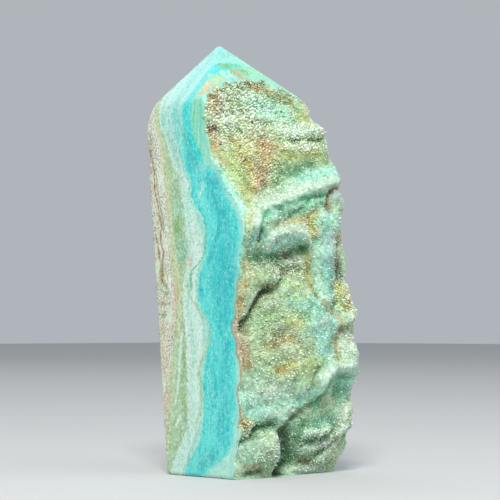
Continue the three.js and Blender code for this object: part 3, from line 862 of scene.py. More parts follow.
    def warped(
        self, points: np.ndarray, wavelength: float, octaves: int, seeds: tuple[float, float]
    ) -> tuple[np.ndarray, np.ndarray]:
        """Places across the side and heights, each moved a little so that no outline is smooth.

        Args:
            points: the points, on the stone's own axes.
            wavelength: length of the waves, in millimetres.
            octaves: how many finer layers they have.
            seeds: shifts of the pattern, for each of the two.

        Returns:
            The places across and the heights.
        """
        across, up = (self.warp * noise_at(points, wavelength, octaves, seed) for seed in seeds)
        return points[:, 0] + across, points[:, 2] + up

    def relief(self, points: np.ndarray) -> np.ndarray:
        """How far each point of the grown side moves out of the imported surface.

        Args:
            points: the points, on the stone's own axes.

        Returns:
            Millimetres, negative inwards.
        """
        x, z = self.warped(points, 3.1, 2, (11.3, 47.1))
        height = np.full(len(points), -self.inset)
        for feature in (*self.folds, *self.lumps):
            height += feature.height(x, z)
        across, up = points[:, 0], points[:, 2]
        rough = 1 - self.bare_calming * self.smoothness(points)
        more = smooth_step(*self.rough_from, up) - self.calming * smooth_step(*self.calm_below, up)
        for ripple in self.ripples:
            waves = noise_at(points, ripple.wavelength, 2, ripple.seed)
            height += rough * (ripple.out + ripple.more * more) * waves
        height += rough * self.grit * self.grain(points) * noise_at(points, 0.9, 1, 33.3)
        ribbed = smooth_step(*self.ribs_right_of, across) * smooth_step(*self.ribs_below, up)
        height += self.ribs * ribbed * noise_at(points @ self.slant.T, 1.0, 2, 8.1)
        return height

    @property
    def slant(self) -> np.ndarray:
        """Turns a place on the foot so that noise makes long ribs rising to the right.

        Returns:
            The matrix that does it.
        """
        turn = math.radians(self.ribs_angle)
        along, over = self.ribs_size
        return np.array([
            [math.cos(turn) / along, 0, math.sin(turn) / along],
            [0, 0.3, 0],
            [-math.sin(turn) / over, 0, math.cos(turn) / over],
        ])

    def smoothness(self, points: np.ndarray) -> np.ndarray:
        """How bare of crystals each point is, 0 to 1."""
        x, z = points[:, 0], points[:, 2]
        return np.max([zone.height(x, z) for zone in self.smooth_zones], axis=0)

    def grain(self, points: np.ndarray) -> np.ndarray:
        """How far apart the crystals are.

        Args:
            points: the points, on the stone's own axes.

        Returns:
            The distance at each point, in millimetres.
        """
        x, z = points[:, 0], points[:, 2]
        grain = np.full(len(points), self.plain_grain)
        for at, half, size in self.grain_zones:
            grain += (size - grain) * Lump(at, half, 1.0, 4).height(x, z)
        ledge = np.minimum(line_distance(MAIN_LEDGE, x, z)[0], line_distance(LOW_LEDGE, x, z)[0])
        fine = np.exp(-((ledge / self.ledge_reach) ** 2))
        return grain + (self.ledge_grain - grain) * fine

    def stain_and_shading(self, points: np.ndarray, hollow: np.ndarray, hold: np.ndarray | float = 1.0) -> np.ndarray:
        """Colour of the crust at each point, with painted shade in furrows and painted light on crests.

        Args:
            points: the points, on the stone's own axes.
            hollow: how far each lies in a furrow, from -1 on a crest to 1.
            hold: how strongly each takes the marks, where 1 is their full strength.

        Returns:
            Linear red, green and blue, a row for each point.
        """
        x, z = self.warped(points, 2.6, 3, (5.5, 71.5))
        patchy = (0.94 + 0.7 * noise_at(points, 1.1, 2, 52.4)).clip(0.3, 1.15) * hold
        colour = np.tile(Tint.SUGAR.linear, (len(points), 1))
        for mark in self.marks:
            share = (mark.share(x, z) * patchy).clip(0, 1)[:, None]
            colour = colour * (1 - share) + mark.tint.linear * share
        mottle = (0.5 + 1.1 * noise_at(points, 1.9, 3, 90.2)).clip(0, 1)[:, None]
        colour *= 1.03 - (1 - mottle) * MOTTLE_SHADE
        clump = (self.clumping * noise_at(points, 0.62, 1, 14.4))[:, None]
        colour *= np.exp(clump * CLUMP_SWING)
        # painted light on crests and painted shade in furrows, both from the hollowness
        crest, sunk = (-hollow).clip(0, 1)[:, None], hollow.clip(0, 1)[:, None]
        colour = colour * (1 - self.crest_painted_light * crest) + Tint.ICE.linear * self.crest_painted_light * crest
        return colour * (1 - sunk * FURROW_PAINTED_SHADE)


@dataclass
class PolishedSkin:
    """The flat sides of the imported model, found by their area, with the radius of their edges."""

    edge_radius: float = 1.1
    least_area: float = 60.0
    tolerance: float = 0.14
    grown_to: float = 18.0
    normals: np.ndarray = field(init=False)
    offsets: np.ndarray = field(init=False)

    def __post_init__(self) -> None:
        """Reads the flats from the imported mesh."""
        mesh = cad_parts[NODE].data
        normals = numbers(mesh.polygons, "normal", 3).astype(float)
        centres = to_stone(numbers(mesh.polygons, "center", 3).astype(float))
        areas = numbers(mesh.polygons, "area") / MM**2
        offsets = (normals * centres).sum(1)
        flats: dict[tuple[float, ...], list[int]] = {}
        for i, key in enumerate(np.c_[normals.round(2), offsets.round(0)].tolist()):
            flats.setdefault(tuple(key), []).append(i)
        large = [ids for ids in flats.values() if areas[ids].sum() > self.least_area]
        self.normals = np.array([np.average(normals[ids], 0, areas[ids]) for ids in large])
        self.offsets = np.array([np.average(offsets[ids], 0, areas[ids]) for ids in large])
        logging.info("polished flats: %d", len(large))

    def depth(self, points: np.ndarray) -> np.ndarray:
        """How far each point lies under the polished skin, rounded edges included, in millimetres.

        Args:
            points: the points, on the stone's own axes.

        Returns:
            The depths, which are 0 behind the grown side, where a corner is worn round.
        """
        into = points @ self.normals.T - self.offsets + self.edge_radius
        under = self.edge_radius - np.linalg.norm(into.clip(0), axis=1)
        return under * smooth_step(self.grown_to, self.grown_to - 2, points[:, 1])


@dataclass
class StonePoint:
    """The stone itself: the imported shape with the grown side's fine relief cut into it."""

    side: GrownSide
    skin: PolishedSkin
    cell: float = 0.3
    fade: float = 0.7
    kept_faces: int = 176_000
    softening: int = 14
    crease_angle: float = 38.0
    hollow_sizes: tuple[tuple[int, float], ...] = ((8, 2.4), (60, 1.2))  # rounds of easing, and a share
    hollow_from: float = 0.8
    chip_waves: float = 1.3
    rim_reach: float = 3.0
    base_below: float = -0.7  # how far down a face of the base looks, where -1 is straight down
    map_width: float = 158.0
    charts: tuple[tuple[int, int, float, float], ...] = (
        # the axes that run across and up, and where the front, left, right, back and base lie
        (0, 2, 1, 1),
        (1, 2, 49, 1),
        (1, 2, 90.5, 1),
        (0, 2, 121.5, 1),
        (1, 0, 12, 103),
    )
    chips: tuple[tuple[tuple[float, float, float], tuple[float, float, float], float], ...] = (
        # middle, half size and depth of each chip along the left edge at the back
        ((0, 27.4, 76.6), (1.2, 1.6, 1.1), 0.55),
        ((0, 27.6, 73.4), (1.2, 1.5, 1.6), 0.7),
        ((0, 27.2, 70), (1.0, 1.4, 1.0), 0.5),
        ((0, 24.6, 38.8), (0.9, 2.6, 0.7), 0.5),
        ((0, 24, 36.2), (0.9, 3.0, 0.5), 0.45),
    )

    def build(self) -> bpy.types.Object:
        """Makes the stone's mesh.

        Returns:
            The piece, with its hollowness and stain on every vertex.
        """
        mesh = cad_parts[NODE].data.copy()
        shell = bmesh.new()
        shell.from_mesh(mesh)
        bmesh.ops.remove_doubles(shell, verts=shell.verts, dist=1e-6)
        surface = BVHTree.FromBMesh(shell)
        shell.to_mesh(mesh)
        shell.free()
        mesh.materials.clear()
        stone = new_object("banded_point", mesh)
        remesh = stone.modifiers.new("even cells", "REMESH")
        remesh.mode = "VOXEL"
        remesh.voxel_size = self.cell * MM
        applied(stone)
        self.settle(stone.data, surface)
        self.carve(stone.data)
        thin = stone.modifiers.new("plain flats", "DECIMATE")
        thin.ratio = self.kept_faces / sum(len(p.vertices) - 2 for p in stone.data.polygons)
        applied(stone)
        self.part_sides(stone.data)
        self.colour(stone.data)
        self.lay_map(stone.data)
        return stone

    def settle(self, mesh: bpy.types.Mesh, surface: BVHTree) -> None:
        """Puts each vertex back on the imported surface, so that flats are flat.

        Args:
            mesh: the stone's mesh, in even cells.
            surface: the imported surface.
        """
        places = numbers(mesh.vertices, "co", 3)
        settled = [surface.find_nearest(place)[0] for place in places.tolist()]
        mesh.vertices.foreach_set("co", np.array(settled, np.float32).ravel())
        mesh.update()

    def carve(self, mesh: bpy.types.Mesh) -> None:
        """Moves the vertices of the grown side by its relief, and the chips inwards.

        Args:
            mesh: the stone's mesh.
        """
        points = stone_points(mesh)
        normals = vertex_normals(mesh)
        depth = self.skin.depth(points)
        grown = depth > self.skin.tolerance
        soft = relaxed(points, numbers(mesh.edges, "vertices", 2), self.softening)
        points += (soft - points) * smooth_step(0, 2 * self.fade, depth)[:, None]
        outwards = np.zeros(len(points))
        outwards[grown] = self.side.relief(points[grown])
        outwards *= smooth_step(0, self.fade, depth)
        chipped = np.zeros(len(points))
        rough = 0.75 + 0.5 * noise_at(points, self.chip_waves, 2, 64.0)
        for at, half, deep in self.chips:
            reach = np.linalg.norm((points - at) / half, axis=1)
            chipped += deep * rough * np.exp(-(reach**3))
        points -= normals * chipped[:, None]
        points[:, 1] -= outwards
        place_vertices(mesh, points)
        mesh.update()

    def part_sides(self, mesh: bpy.types.Mesh) -> None:
        """Gives the grown faces their own material slot, and hard edges where faces meet sharply.

        Args:
            mesh: the stone's mesh.
        """
        shell = bmesh.new()
        shell.from_mesh(mesh)
        centres = to_stone(np.array([face.calc_center_median() for face in shell.faces]))
        for face, deep in zip(shell.faces, self.skin.depth(centres)):
            face.material_index = GROWN_SLOT if deep > self.skin.tolerance else 0
            face.smooth = True
        crease = math.radians(self.crease_angle)
        for edge in shell.edges:
            edge.smooth = len(edge.link_faces) == 2 and edge.calc_face_angle() < crease
        shell.to_mesh(mesh)
        shell.free()

    def lay_map(self, mesh: bpy.types.Mesh) -> None:
        """Lays the front, left, right and back side by side on the stone's own map, the base over them.

        Args:
            mesh: the stone's mesh.
        """
        front, left, right, back, base = range(len(self.charts))
        corners = stone_points(mesh)[numbers(mesh.loops, "vertex_index")]
        normals = numbers(mesh.polygons, "normal", 3)
        front_or_back = np.where(normals[:, 1] < 0, front, back)
        left_or_right = np.where(normals[:, 0] < 0, left, right)
        chart = np.where(np.abs(normals[:, 0]) > np.abs(normals[:, 1]), left_or_right, front_or_back)
        chart[normals[:, 2] < self.base_below] = base
        chart[numbers(mesh.polygons, "material_index") == GROWN_SLOT] = front
        chart = np.repeat(chart, numbers(mesh.polygons, "loop_total"))
        places = np.empty((len(corners), 2))
        for n, (across, up, aside, over) in enumerate(self.charts):
            mine = chart == n
            places[mine] = corners[mine][:, (across, up)] + (aside, over)
        write_map(mesh, places / self.map_width)

    def to_crust(self, mesh: bpy.types.Mesh, points: np.ndarray) -> np.ndarray:
        """Each vertex's distance from the grown faces, in millimetres.

        Args:
            mesh: the stone's mesh, with its sides parted.
            points: its vertices, on the stone's own axes.

        Returns:
            The distances, no more than the farthest that shows.
        """
        tree = tree_of(points[np.unique(grown_triangles(mesh))])
        gap = np.array([tree.find(place)[2] for place in points.tolist()])
        return gap.clip(0, self.rim_reach)

    def colour(self, mesh: bpy.types.Mesh) -> None:
        """Writes hollowness, the distance from the crust and the stain on every vertex, the stain with
        painted shade between coarse crystals.

        Args:
            mesh: the stone's mesh, with its sides parted.
        """
        points, normals = stone_points(mesh), vertex_normals(mesh)
        edges = numbers(mesh.edges, "vertices", 2)
        hollow = sum(
            share * ((relaxed(points, edges, rounds) - points) * normals).sum(1)
            for rounds, share in self.hollow_sizes
        ).clip(-1, 1)
        hollow *= smooth_step(0, self.hollow_from, self.skin.depth(points))
        bare = self.side.smoothness(points)
        # painted shade between coarse crystals, none where the side is bare
        gap_shade_share = (1 - bare) * (0.8 + 0.2 * smooth_step(0.36, 0.5, self.side.grain(points)))
        stain_and_shading = self.side.stain_and_shading(points, hollow) * (1 - gap_shade_share[:, None] * GAP_PAINTED_SHADE)
        write_values(mesh, HOLLOWNESS, hollow)
        write_values(mesh, TO_CRUST, self.to_crust(mesh, points))
        write_values(mesh, STAIN_AND_SHADING, np.c_[stain_and_shading, bare])

    def dress(self, stone: bpy.types.Object) -> None:
        """Gives the stone its two finishes, banded stone and grown crust."""
        for finish in (BandedStone(), CrustFinish()):
            stone.data.materials.append(finish.material())


@dataclass(frozen=True)
class CrystalShape:
    """One small crystal: a tapering prism with a pointed end, standing on its root."""

    name: str
    sides: int
    flatness: float
    shoulder: float
    ridge: float
    least_grain: float

    def mesh(self) -> tuple[np.ndarray, np.ndarray]:
        """Makes the crystal one unit wide, from its root at 0 to its tip at 1.

        Returns:
            Its points, and its triangles by point number.
        """
        crystal = bmesh.new()
        shape = {"cap_ends": True, "segments": self.sides, "radius1": 0.5}
        if self.shoulder:
            made = bmesh.ops.create_cone(crystal, radius2=0.5, depth=self.shoulder, **shape)
            bmesh.ops.translate(crystal, verts=made["verts"], vec=(0, 0, self.shoulder / 2))
            crystal.faces.ensure_lookup_table()
            top = max(crystal.faces, key=lambda face: face.calc_center_median().z)
            bmesh.ops.inset_region(crystal, faces=[top], thickness=0.0)
            bmesh.ops.translate(crystal, verts=top.verts, vec=(0, 0, 1 - self.shoulder))
            bmesh.ops.scale(crystal, verts=top.verts, vec=(self.ridge, 0.08, 1))
        else:
            made = bmesh.ops.create_cone(crystal, radius2=0.0, depth=1.0, **shape)
            bmesh.ops.translate(crystal, verts=made["verts"], vec=(0, 0, 0.5))
        bmesh.ops.scale(crystal, verts=crystal.verts, vec=(1, self.flatness, 1))
        bmesh.ops.triangulate(crystal, faces=crystal.faces)
        crystal.verts.index_update()
        points = np.array([vert.co for vert in crystal.verts])
        faces = np.array([[vert.index for vert in face.verts] for face in crystal.faces])
        crystal.free()
        return points, faces

    def corners(self, points: np.ndarray, faces: np.ndarray) -> np.ndarray:
        """Unrolls the crystal's faces on a square tile, its root cap in the lowest strip.

        Args:
            points: the crystal's points.
            faces: its triangles by point number.

        Returns:
            The place of each corner of each triangle, 0 to 1 both ways.
        """
        x, y, up = (points[faces][:, :, k] for k in range(3))
        turn = np.arctan2(y, x) / math.tau % 1
        on_axis = np.hypot(x, y) < 0.02
        first = np.take_along_axis(turn, on_axis.argmin(1)[:, None], 1)
        turn = np.where(turn - first > 0.5, turn - 1, turn)
        turn = np.where(first - turn > 0.5, turn + 1, turn)
        middle = (turn * ~on_axis).sum(1, keepdims=True) / (~on_axis).sum(1, keepdims=True)
        turn = np.where(on_axis, middle, turn)
        side = np.stack([0.05 + 0.6 * (turn + 0.25), 0.25 + 0.7 * up], 2)
        cap = np.stack([0.05 + 0.3 * (x + 0.5), 0.05 + 0.15 * (y + 0.5)], 2)
        return np.where((up.max(1) < 0.01)[:, None, None], cap, side)


@dataclass
class CrystalCrust:
    """The sugar of small crystals that covers the grown side, in a few joined pieces."""

    side: GrownSide
    stone: bpy.types.Object
    candidates: int = 260_000
    seed: int = 8
    lean: float = 0.36
    stray: float = 0.45
    foot_clearance: float = 0.7
    widths: tuple[float, float] = (0.9, 1.45)  # in distances between crystals
    lengths: tuple[float, float] = (1.2, 2.2)  # in widths
    rooted: float = 0.5  # in lengths
    holds: tuple[float, float] = (0.6, 1.25)
    light_spread: float = 0.24
    yellow_from: float = 0.82
    dark_to: float = 0.16
    darkening: float = 0.4
    shapes: tuple[CrystalShape, ...] = (
        CrystalShape("blades", 4, 0.6, 0.66, 0.6, 0.43),
        CrystalShape("points", 5, 0.9, 0.62, 0.08, 0.43),
        CrystalShape("grains", 4, 0.9, 0.0, 0.0, 0.0),
    )

    def build(self) -> list[bpy.types.Object]:
        """Scatters the crystals and joins them, one piece for each shape.

        Returns:
            The pieces.
        """
        draw = np.random.default_rng(self.seed)
        places, normals, hollow = self.scatter(draw)
        grain = self.side.grain(places)
        large = grain + draw.normal(0, 0.03, len(places)) > self.shapes[0].least_grain
        shape_of = np.where(large, draw.integers(0, 2, len(places)), 2)
        pieces = []
        for i, shape in enumerate(self.shapes):
            mine = shape_of == i
            mesh = self.joined(shape, places[mine], normals[mine], hollow[mine], draw)
            pieces.append(new_object(f"crystal_{shape.name}", mesh))
            logging.info("crystal_%s: %d crystals", shape.name, mine.sum())
        return pieces

    def scatter(self, draw: np.random.Generator) -> tuple[np.ndarray, np.ndarray, np.ndarray]:
        """Picks places on the grown faces that keep their distance from each other.

        Args:
            draw: the source of random numbers.

        Returns:
            The places on the stone's own axes, the surface's normals and its hollowness there.
        """
        mesh = self.stone.data
        corners = grown_triangles(mesh)
        points, normals = stone_points(mesh), vertex_normals(mesh)
        hollow = numbers(mesh.attributes[HOLLOWNESS].data, "value")
        a, b, c = (points[corners[:, k]] for k in range(3))
        area = np.linalg.norm(np.cross(b - a, c - a), axis=1)
        chosen = corners[draw.choice(len(corners), self.candidates, p=area / area.sum())]
        weights = draw.dirichlet((1, 1, 1), self.candidates)[:, :, None]
        places = (points[chosen] * weights).sum(1)
        facing = (normals[chosen] * weights).sum(1)
        facing /= np.linalg.norm(facing, axis=1)[:, None]
        sunk = (hollow[chosen] * weights[:, :, 0]).sum(1)
        bare = self.side.smoothness(places) > draw.uniform(0.05, 1, len(places))
        usable = ~bare & (places[:, 2] > self.foot_clearance)
        places, facing, sunk = places[usable], facing[usable], sunk[usable]
        kept = spaced(places, self.side.grain(places))
        return places[kept], facing[kept], sunk[kept]

    def joined(
        self,
        shape: CrystalShape,
        places: np.ndarray,
        normals: np.ndarray,
        hollow: np.ndarray,
        draw: np.random.Generator,
    ) -> bpy.types.Mesh:
        """Makes one mesh of many turned and sized copies of a crystal.

        Args:
            shape: the crystal.
            places: where each copy stands.
            normals: the surface's normal there.
            hollow: the surface's hollowness there.
            draw: the source of random numbers.

        Returns:
            The mesh.
        """
        count = len(places)
        points, faces = shape.mesh()
        up = normals + draw.normal(0, self.lean, (count, 3))
        up /= np.linalg.norm(up, axis=1)[:, None]
        side = np.cross(up, draw.normal(size=(count, 3)))
        side /= np.linalg.norm(side, axis=1)[:, None]
        turned = np.stack([side, np.cross(up, side), up], 1)
        grain = self.side.grain(places)
        width = grain * draw.uniform(*self.widths, count)
        length = width * draw.uniform(*self.lengths, count)
        size = np.stack([width, width, length], 1)
        root = places - up * (self.rooted * length)[:, None]
        copies = np.einsum("nk,pk,nkj->npj", size, points, turned) + root[:, None]
        stain_and_shading = np.empty((count, len(points), 4))
        stain_and_shading[:, :, :3] = self.tints(places, hollow, grain, draw)[:, None]
        stain_and_shading[:, :, 3] = points[:, 2]
        mesh = bpy.data.meshes.new("crystals")
        mesh.vertices.add(count * len(points))
        mesh.loops.add(count * faces.size)
        mesh.polygons.add(count * len(faces))
        place_vertices(mesh, copies.reshape(-1, 3))
        steps = np.arange(count)[:, None, None] * len(points)
        mesh.loops.foreach_set("vertex_index", (faces + steps).ravel())
        mesh.polygons.foreach_set("loop_start", np.arange(0, count * faces.size, 3))
        mesh.update(calc_edges=True)
        write_values(mesh, STAIN_AND_SHADING, stain_and_shading.reshape(-1, 4))
        columns = math.ceil(math.sqrt(count))
        tiles = np.stack(np.divmod(np.arange(count), columns)[::-1], 1)[:, None, None]
        write_map(mesh, (shape.corners(points, faces) + tiles) / columns)
        return mesh

    def tints(
        self, places: np.ndarray, hollow: np.ndarray, grain: np.ndarray, draw: np.random.Generator
    ) -> np.ndarray:
        """A colour for each crystal: the stain around it, and a few white, yellow or dark ones.
        The white ones are partly the crust's own white crystals and partly painted glints.

        Args:
            places: where each crystal stands.
            hollow: the surface's hollowness there.
            grain: the distance between crystals there.
            draw: the source of random numbers.

        Returns:
            Linear red, green and blue, a row for each crystal.
        """
        count = len(places)
        strayed = places + draw.normal(0, self.stray, (count, 3))
        tint = self.side.stain_and_shading(strayed, hollow, draw.uniform(*self.holds, count))
        variety = 0.7 + 0.3 * smooth_step(0.36, 0.46, grain)
        tint *= np.exp(draw.normal(0, self.light_spread, count) * variety)[:, None]
        kind = draw.uniform(0, 1, count)
        tint *= 1 - ((kind > self.yellow_from) * variety)[:, None] * YELLOW_LOSS
        tint *= 1 - self.darkening * ((kind < self.dark_to) * variety)[:, None]
        # white crystals: partly the crust's own white, partly painted glints
        white = 0.3 + 0.3 * smooth_step(0.5, 0.6, grain)
        white *= smooth_step(0.08, 0.4, tint.mean(1))
        white = (white * draw.uniform(0, 1, count) ** 1.5)[:, None]
        return tint * (1 - white) + Tint.GLINT.linear * white

    def dress(self, pieces: list[bpy.types.Object]) -> None:
        """Gives every piece the same finish.

        Args:
            pieces: the joined crystals.
        """
        finish = CrystalFinish().material()
        for piece in pieces:
            piece.data.materials.append(finish)


def spaced(places: np.ndarray, apart: np.ndarray) -> np.ndarray:
    """Keeps each place that no earlier kept place has cleared away.

    Args:
        places: the places, a row of three for each.
        apart: how far around itself each clears the others.

    Returns:
        The numbers of the kept places.
    """
    tree = tree_of(places)
    free = np.ones(len(places), bool)
    for n, (place, gap) in enumerate(zip(places.tolist(), apart.tolist())):
        if free[n]:
            for _, m, _ in tree.find_range(place, gap):
                free[m] = False
            free[n] = True
    return np.flatnonzero(free)


class Wiring:
    """Adds nodes to one material and joins them."""

    def __init__(self, name: str) -> None:
        """Makes an empty material that knows the place on the stone's own axes, in millimetres.

        Args:
            name: its name.
        """
        self.material = bpy.data.materials.new(name)
        self.material.use_nodes = True
        self.tree = self.material.node_tree
        self.tree.nodes.clear()
        self.metres = self.add("TexCoord").outputs["Object"]
        self.place = self.stretched(self.metres, (1 / MM,) * 3, STONE_ORIGIN.tolist())

    def feed(self, socket: Socket, value: Value) -> None:
        """Links a socket to another's output, or sets its number or colour.

        Args:
            socket: the input.
            value: what it gets.
        """
        if isinstance(value, Socket):
            self.tree.links.new(value, socket)
        else:
            socket.default_value = value.rgba if isinstance(value, Tint) else value

    def add(self, kind: str, *values: Value, **settings: object) -> bpy.types.Node:
        """Adds one node.

        Args:
            kind: its type.
            values: what its first sockets get.
            settings: its properties.

        Returns:
            The node.
        """
        node = self.tree.nodes.new(f"ShaderNode{kind}")
        for name, value in settings.items():
            setattr(node, name, value)
        for socket, value in zip(node.inputs, values):
            self.feed(socket, value)
        return node

    def math(self, operation: str, *values: Value, clamp: bool = False) -> Socket:
        """One Math node."""
        return self.add("Math", *values, operation=operation, use_clamp=clamp).outputs[0]

    def times(self, *values: Value) -> Socket:
        """The product of some numbers."""
        return reduce(lambda product, value: self.math("MULTIPLY", product, value), values)

    def plus(self, first: Value, second: Value) -> Socket:
        """The sum of two numbers."""
        return self.math("ADD", first, second)

    def minus(self, first: Value, second: Value) -> Socket:
        """The first number less the second."""
        return self.math("SUBTRACT", first, second)

    def rise(self, value: Value, low: Value, high: Value, to: tuple[float, float] = (0, 1)) -> Socket:
        """A number that goes from to[0] to to[1] as value goes from low to high."""
        return self.add("MapRange", value, low, high, *to, clamp=True).outputs[0]

    def soft_rise(self, value: Value, low: Value, high: Value) -> Socket:
        """As rise, with soft ends."""
        node = self.add("MapRange", value, low, high, clamp=True, interpolation_type="SMOOTHSTEP")
        return node.outputs[0]

    def mix(self, share: Value, under: Value, over: Value, blend: str = "MIX") -> Socket:
        """Mixes two colours.

        Args:
            share: how much of the second shows.
            under: the first colour.
            over: the second colour.
            blend: how they are mixed.

        Returns:
            The mixed colour.
        """
        node = self.add("Mix", share, data_type="RGBA", blend_type=blend)
        self.feed(node.inputs[6], under)
        self.feed(node.inputs[7], over)
        return node.outputs[2]

    def stretched(self, vector: Socket, stretch: Sequence[float], shift: Sequence[float]) -> Socket:
        """Coordinates multiplied and moved."""
        return self.add("VectorMath", vector, stretch, shift, operation="MULTIPLY_ADD").outputs["Vector"]

    def noise(
        self,
        scale: float,
        detail: float = 2,
        roughness: float = 0.5,
        stretch: Sequence[float] | None = None,
        shift: Sequence[float] = (0, 0, 0),
        at: Socket | None = None,
    ) -> Socket:
        """Fractal noise, 0 to 1.

        Args:
            scale: how many waves there are to a millimetre.
            detail: how many finer layers are added.
            roughness: how strong they are.
            stretch: what the coordinates are multiplied by first.
            shift: what is then added to them.
            at: the coordinates, where they aren't the place on the stone.

        Returns:
            The noise.
        """
        vector = at or self.place
        if stretch:
            vector = self.stretched(vector, stretch, shift)
        node = self.add("TexNoise", vector)
        for name, value in (("Scale", scale), ("Detail", detail), ("Roughness", roughness)):
            self.feed(node.inputs[name], value)
        return node.outputs["Fac"]

    def bump(self, height: Socket, strength: float, distance: float) -> Socket:
        """A fine relief in the finish.

        Args:
            height: its pattern, 0 to 1.
            strength: how much of it shows.
            distance: its height in millimetres.

        Returns:
            The surface's normal.
        """
        node = self.add("Bump", strength, distance * MM)
        self.feed(node.inputs["Height"], height)
        return node.outputs["Normal"]

    def finish(self, values: dict[str, Value]) -> bpy.types.Material:
        """Ends the material in a shader.

        Args:
            values: what each of the shader's sockets gets, by its name.

        Returns:
            The material.
        """
        shader = self.add("BsdfPrincipled")
        for name, value in values.items():
            self.feed(shader.inputs[name], value)
        self.add("OutputMaterial", shader.outputs[0])
        return self.material


@dataclass(frozen=True)
class Sheet:
    """The boundary at the front of one mineral layer: its depth at each height."""

    name: str
    edge: Line


@dataclass(frozen=True)
class Inclusion:
    """A patch of another colour in the polished stone."""

    tint: Tint
    at: tuple[float, float, float]
    half: tuple[float, float, float]
    strength: float = 0.8
    turn: float = 0.0


@dataclass(frozen=True)
class Vein:
    """A thin line along the sheets: its depth at each height."""

    tint: Tint
    line: Line
    width: float
    strength: float = 0.8


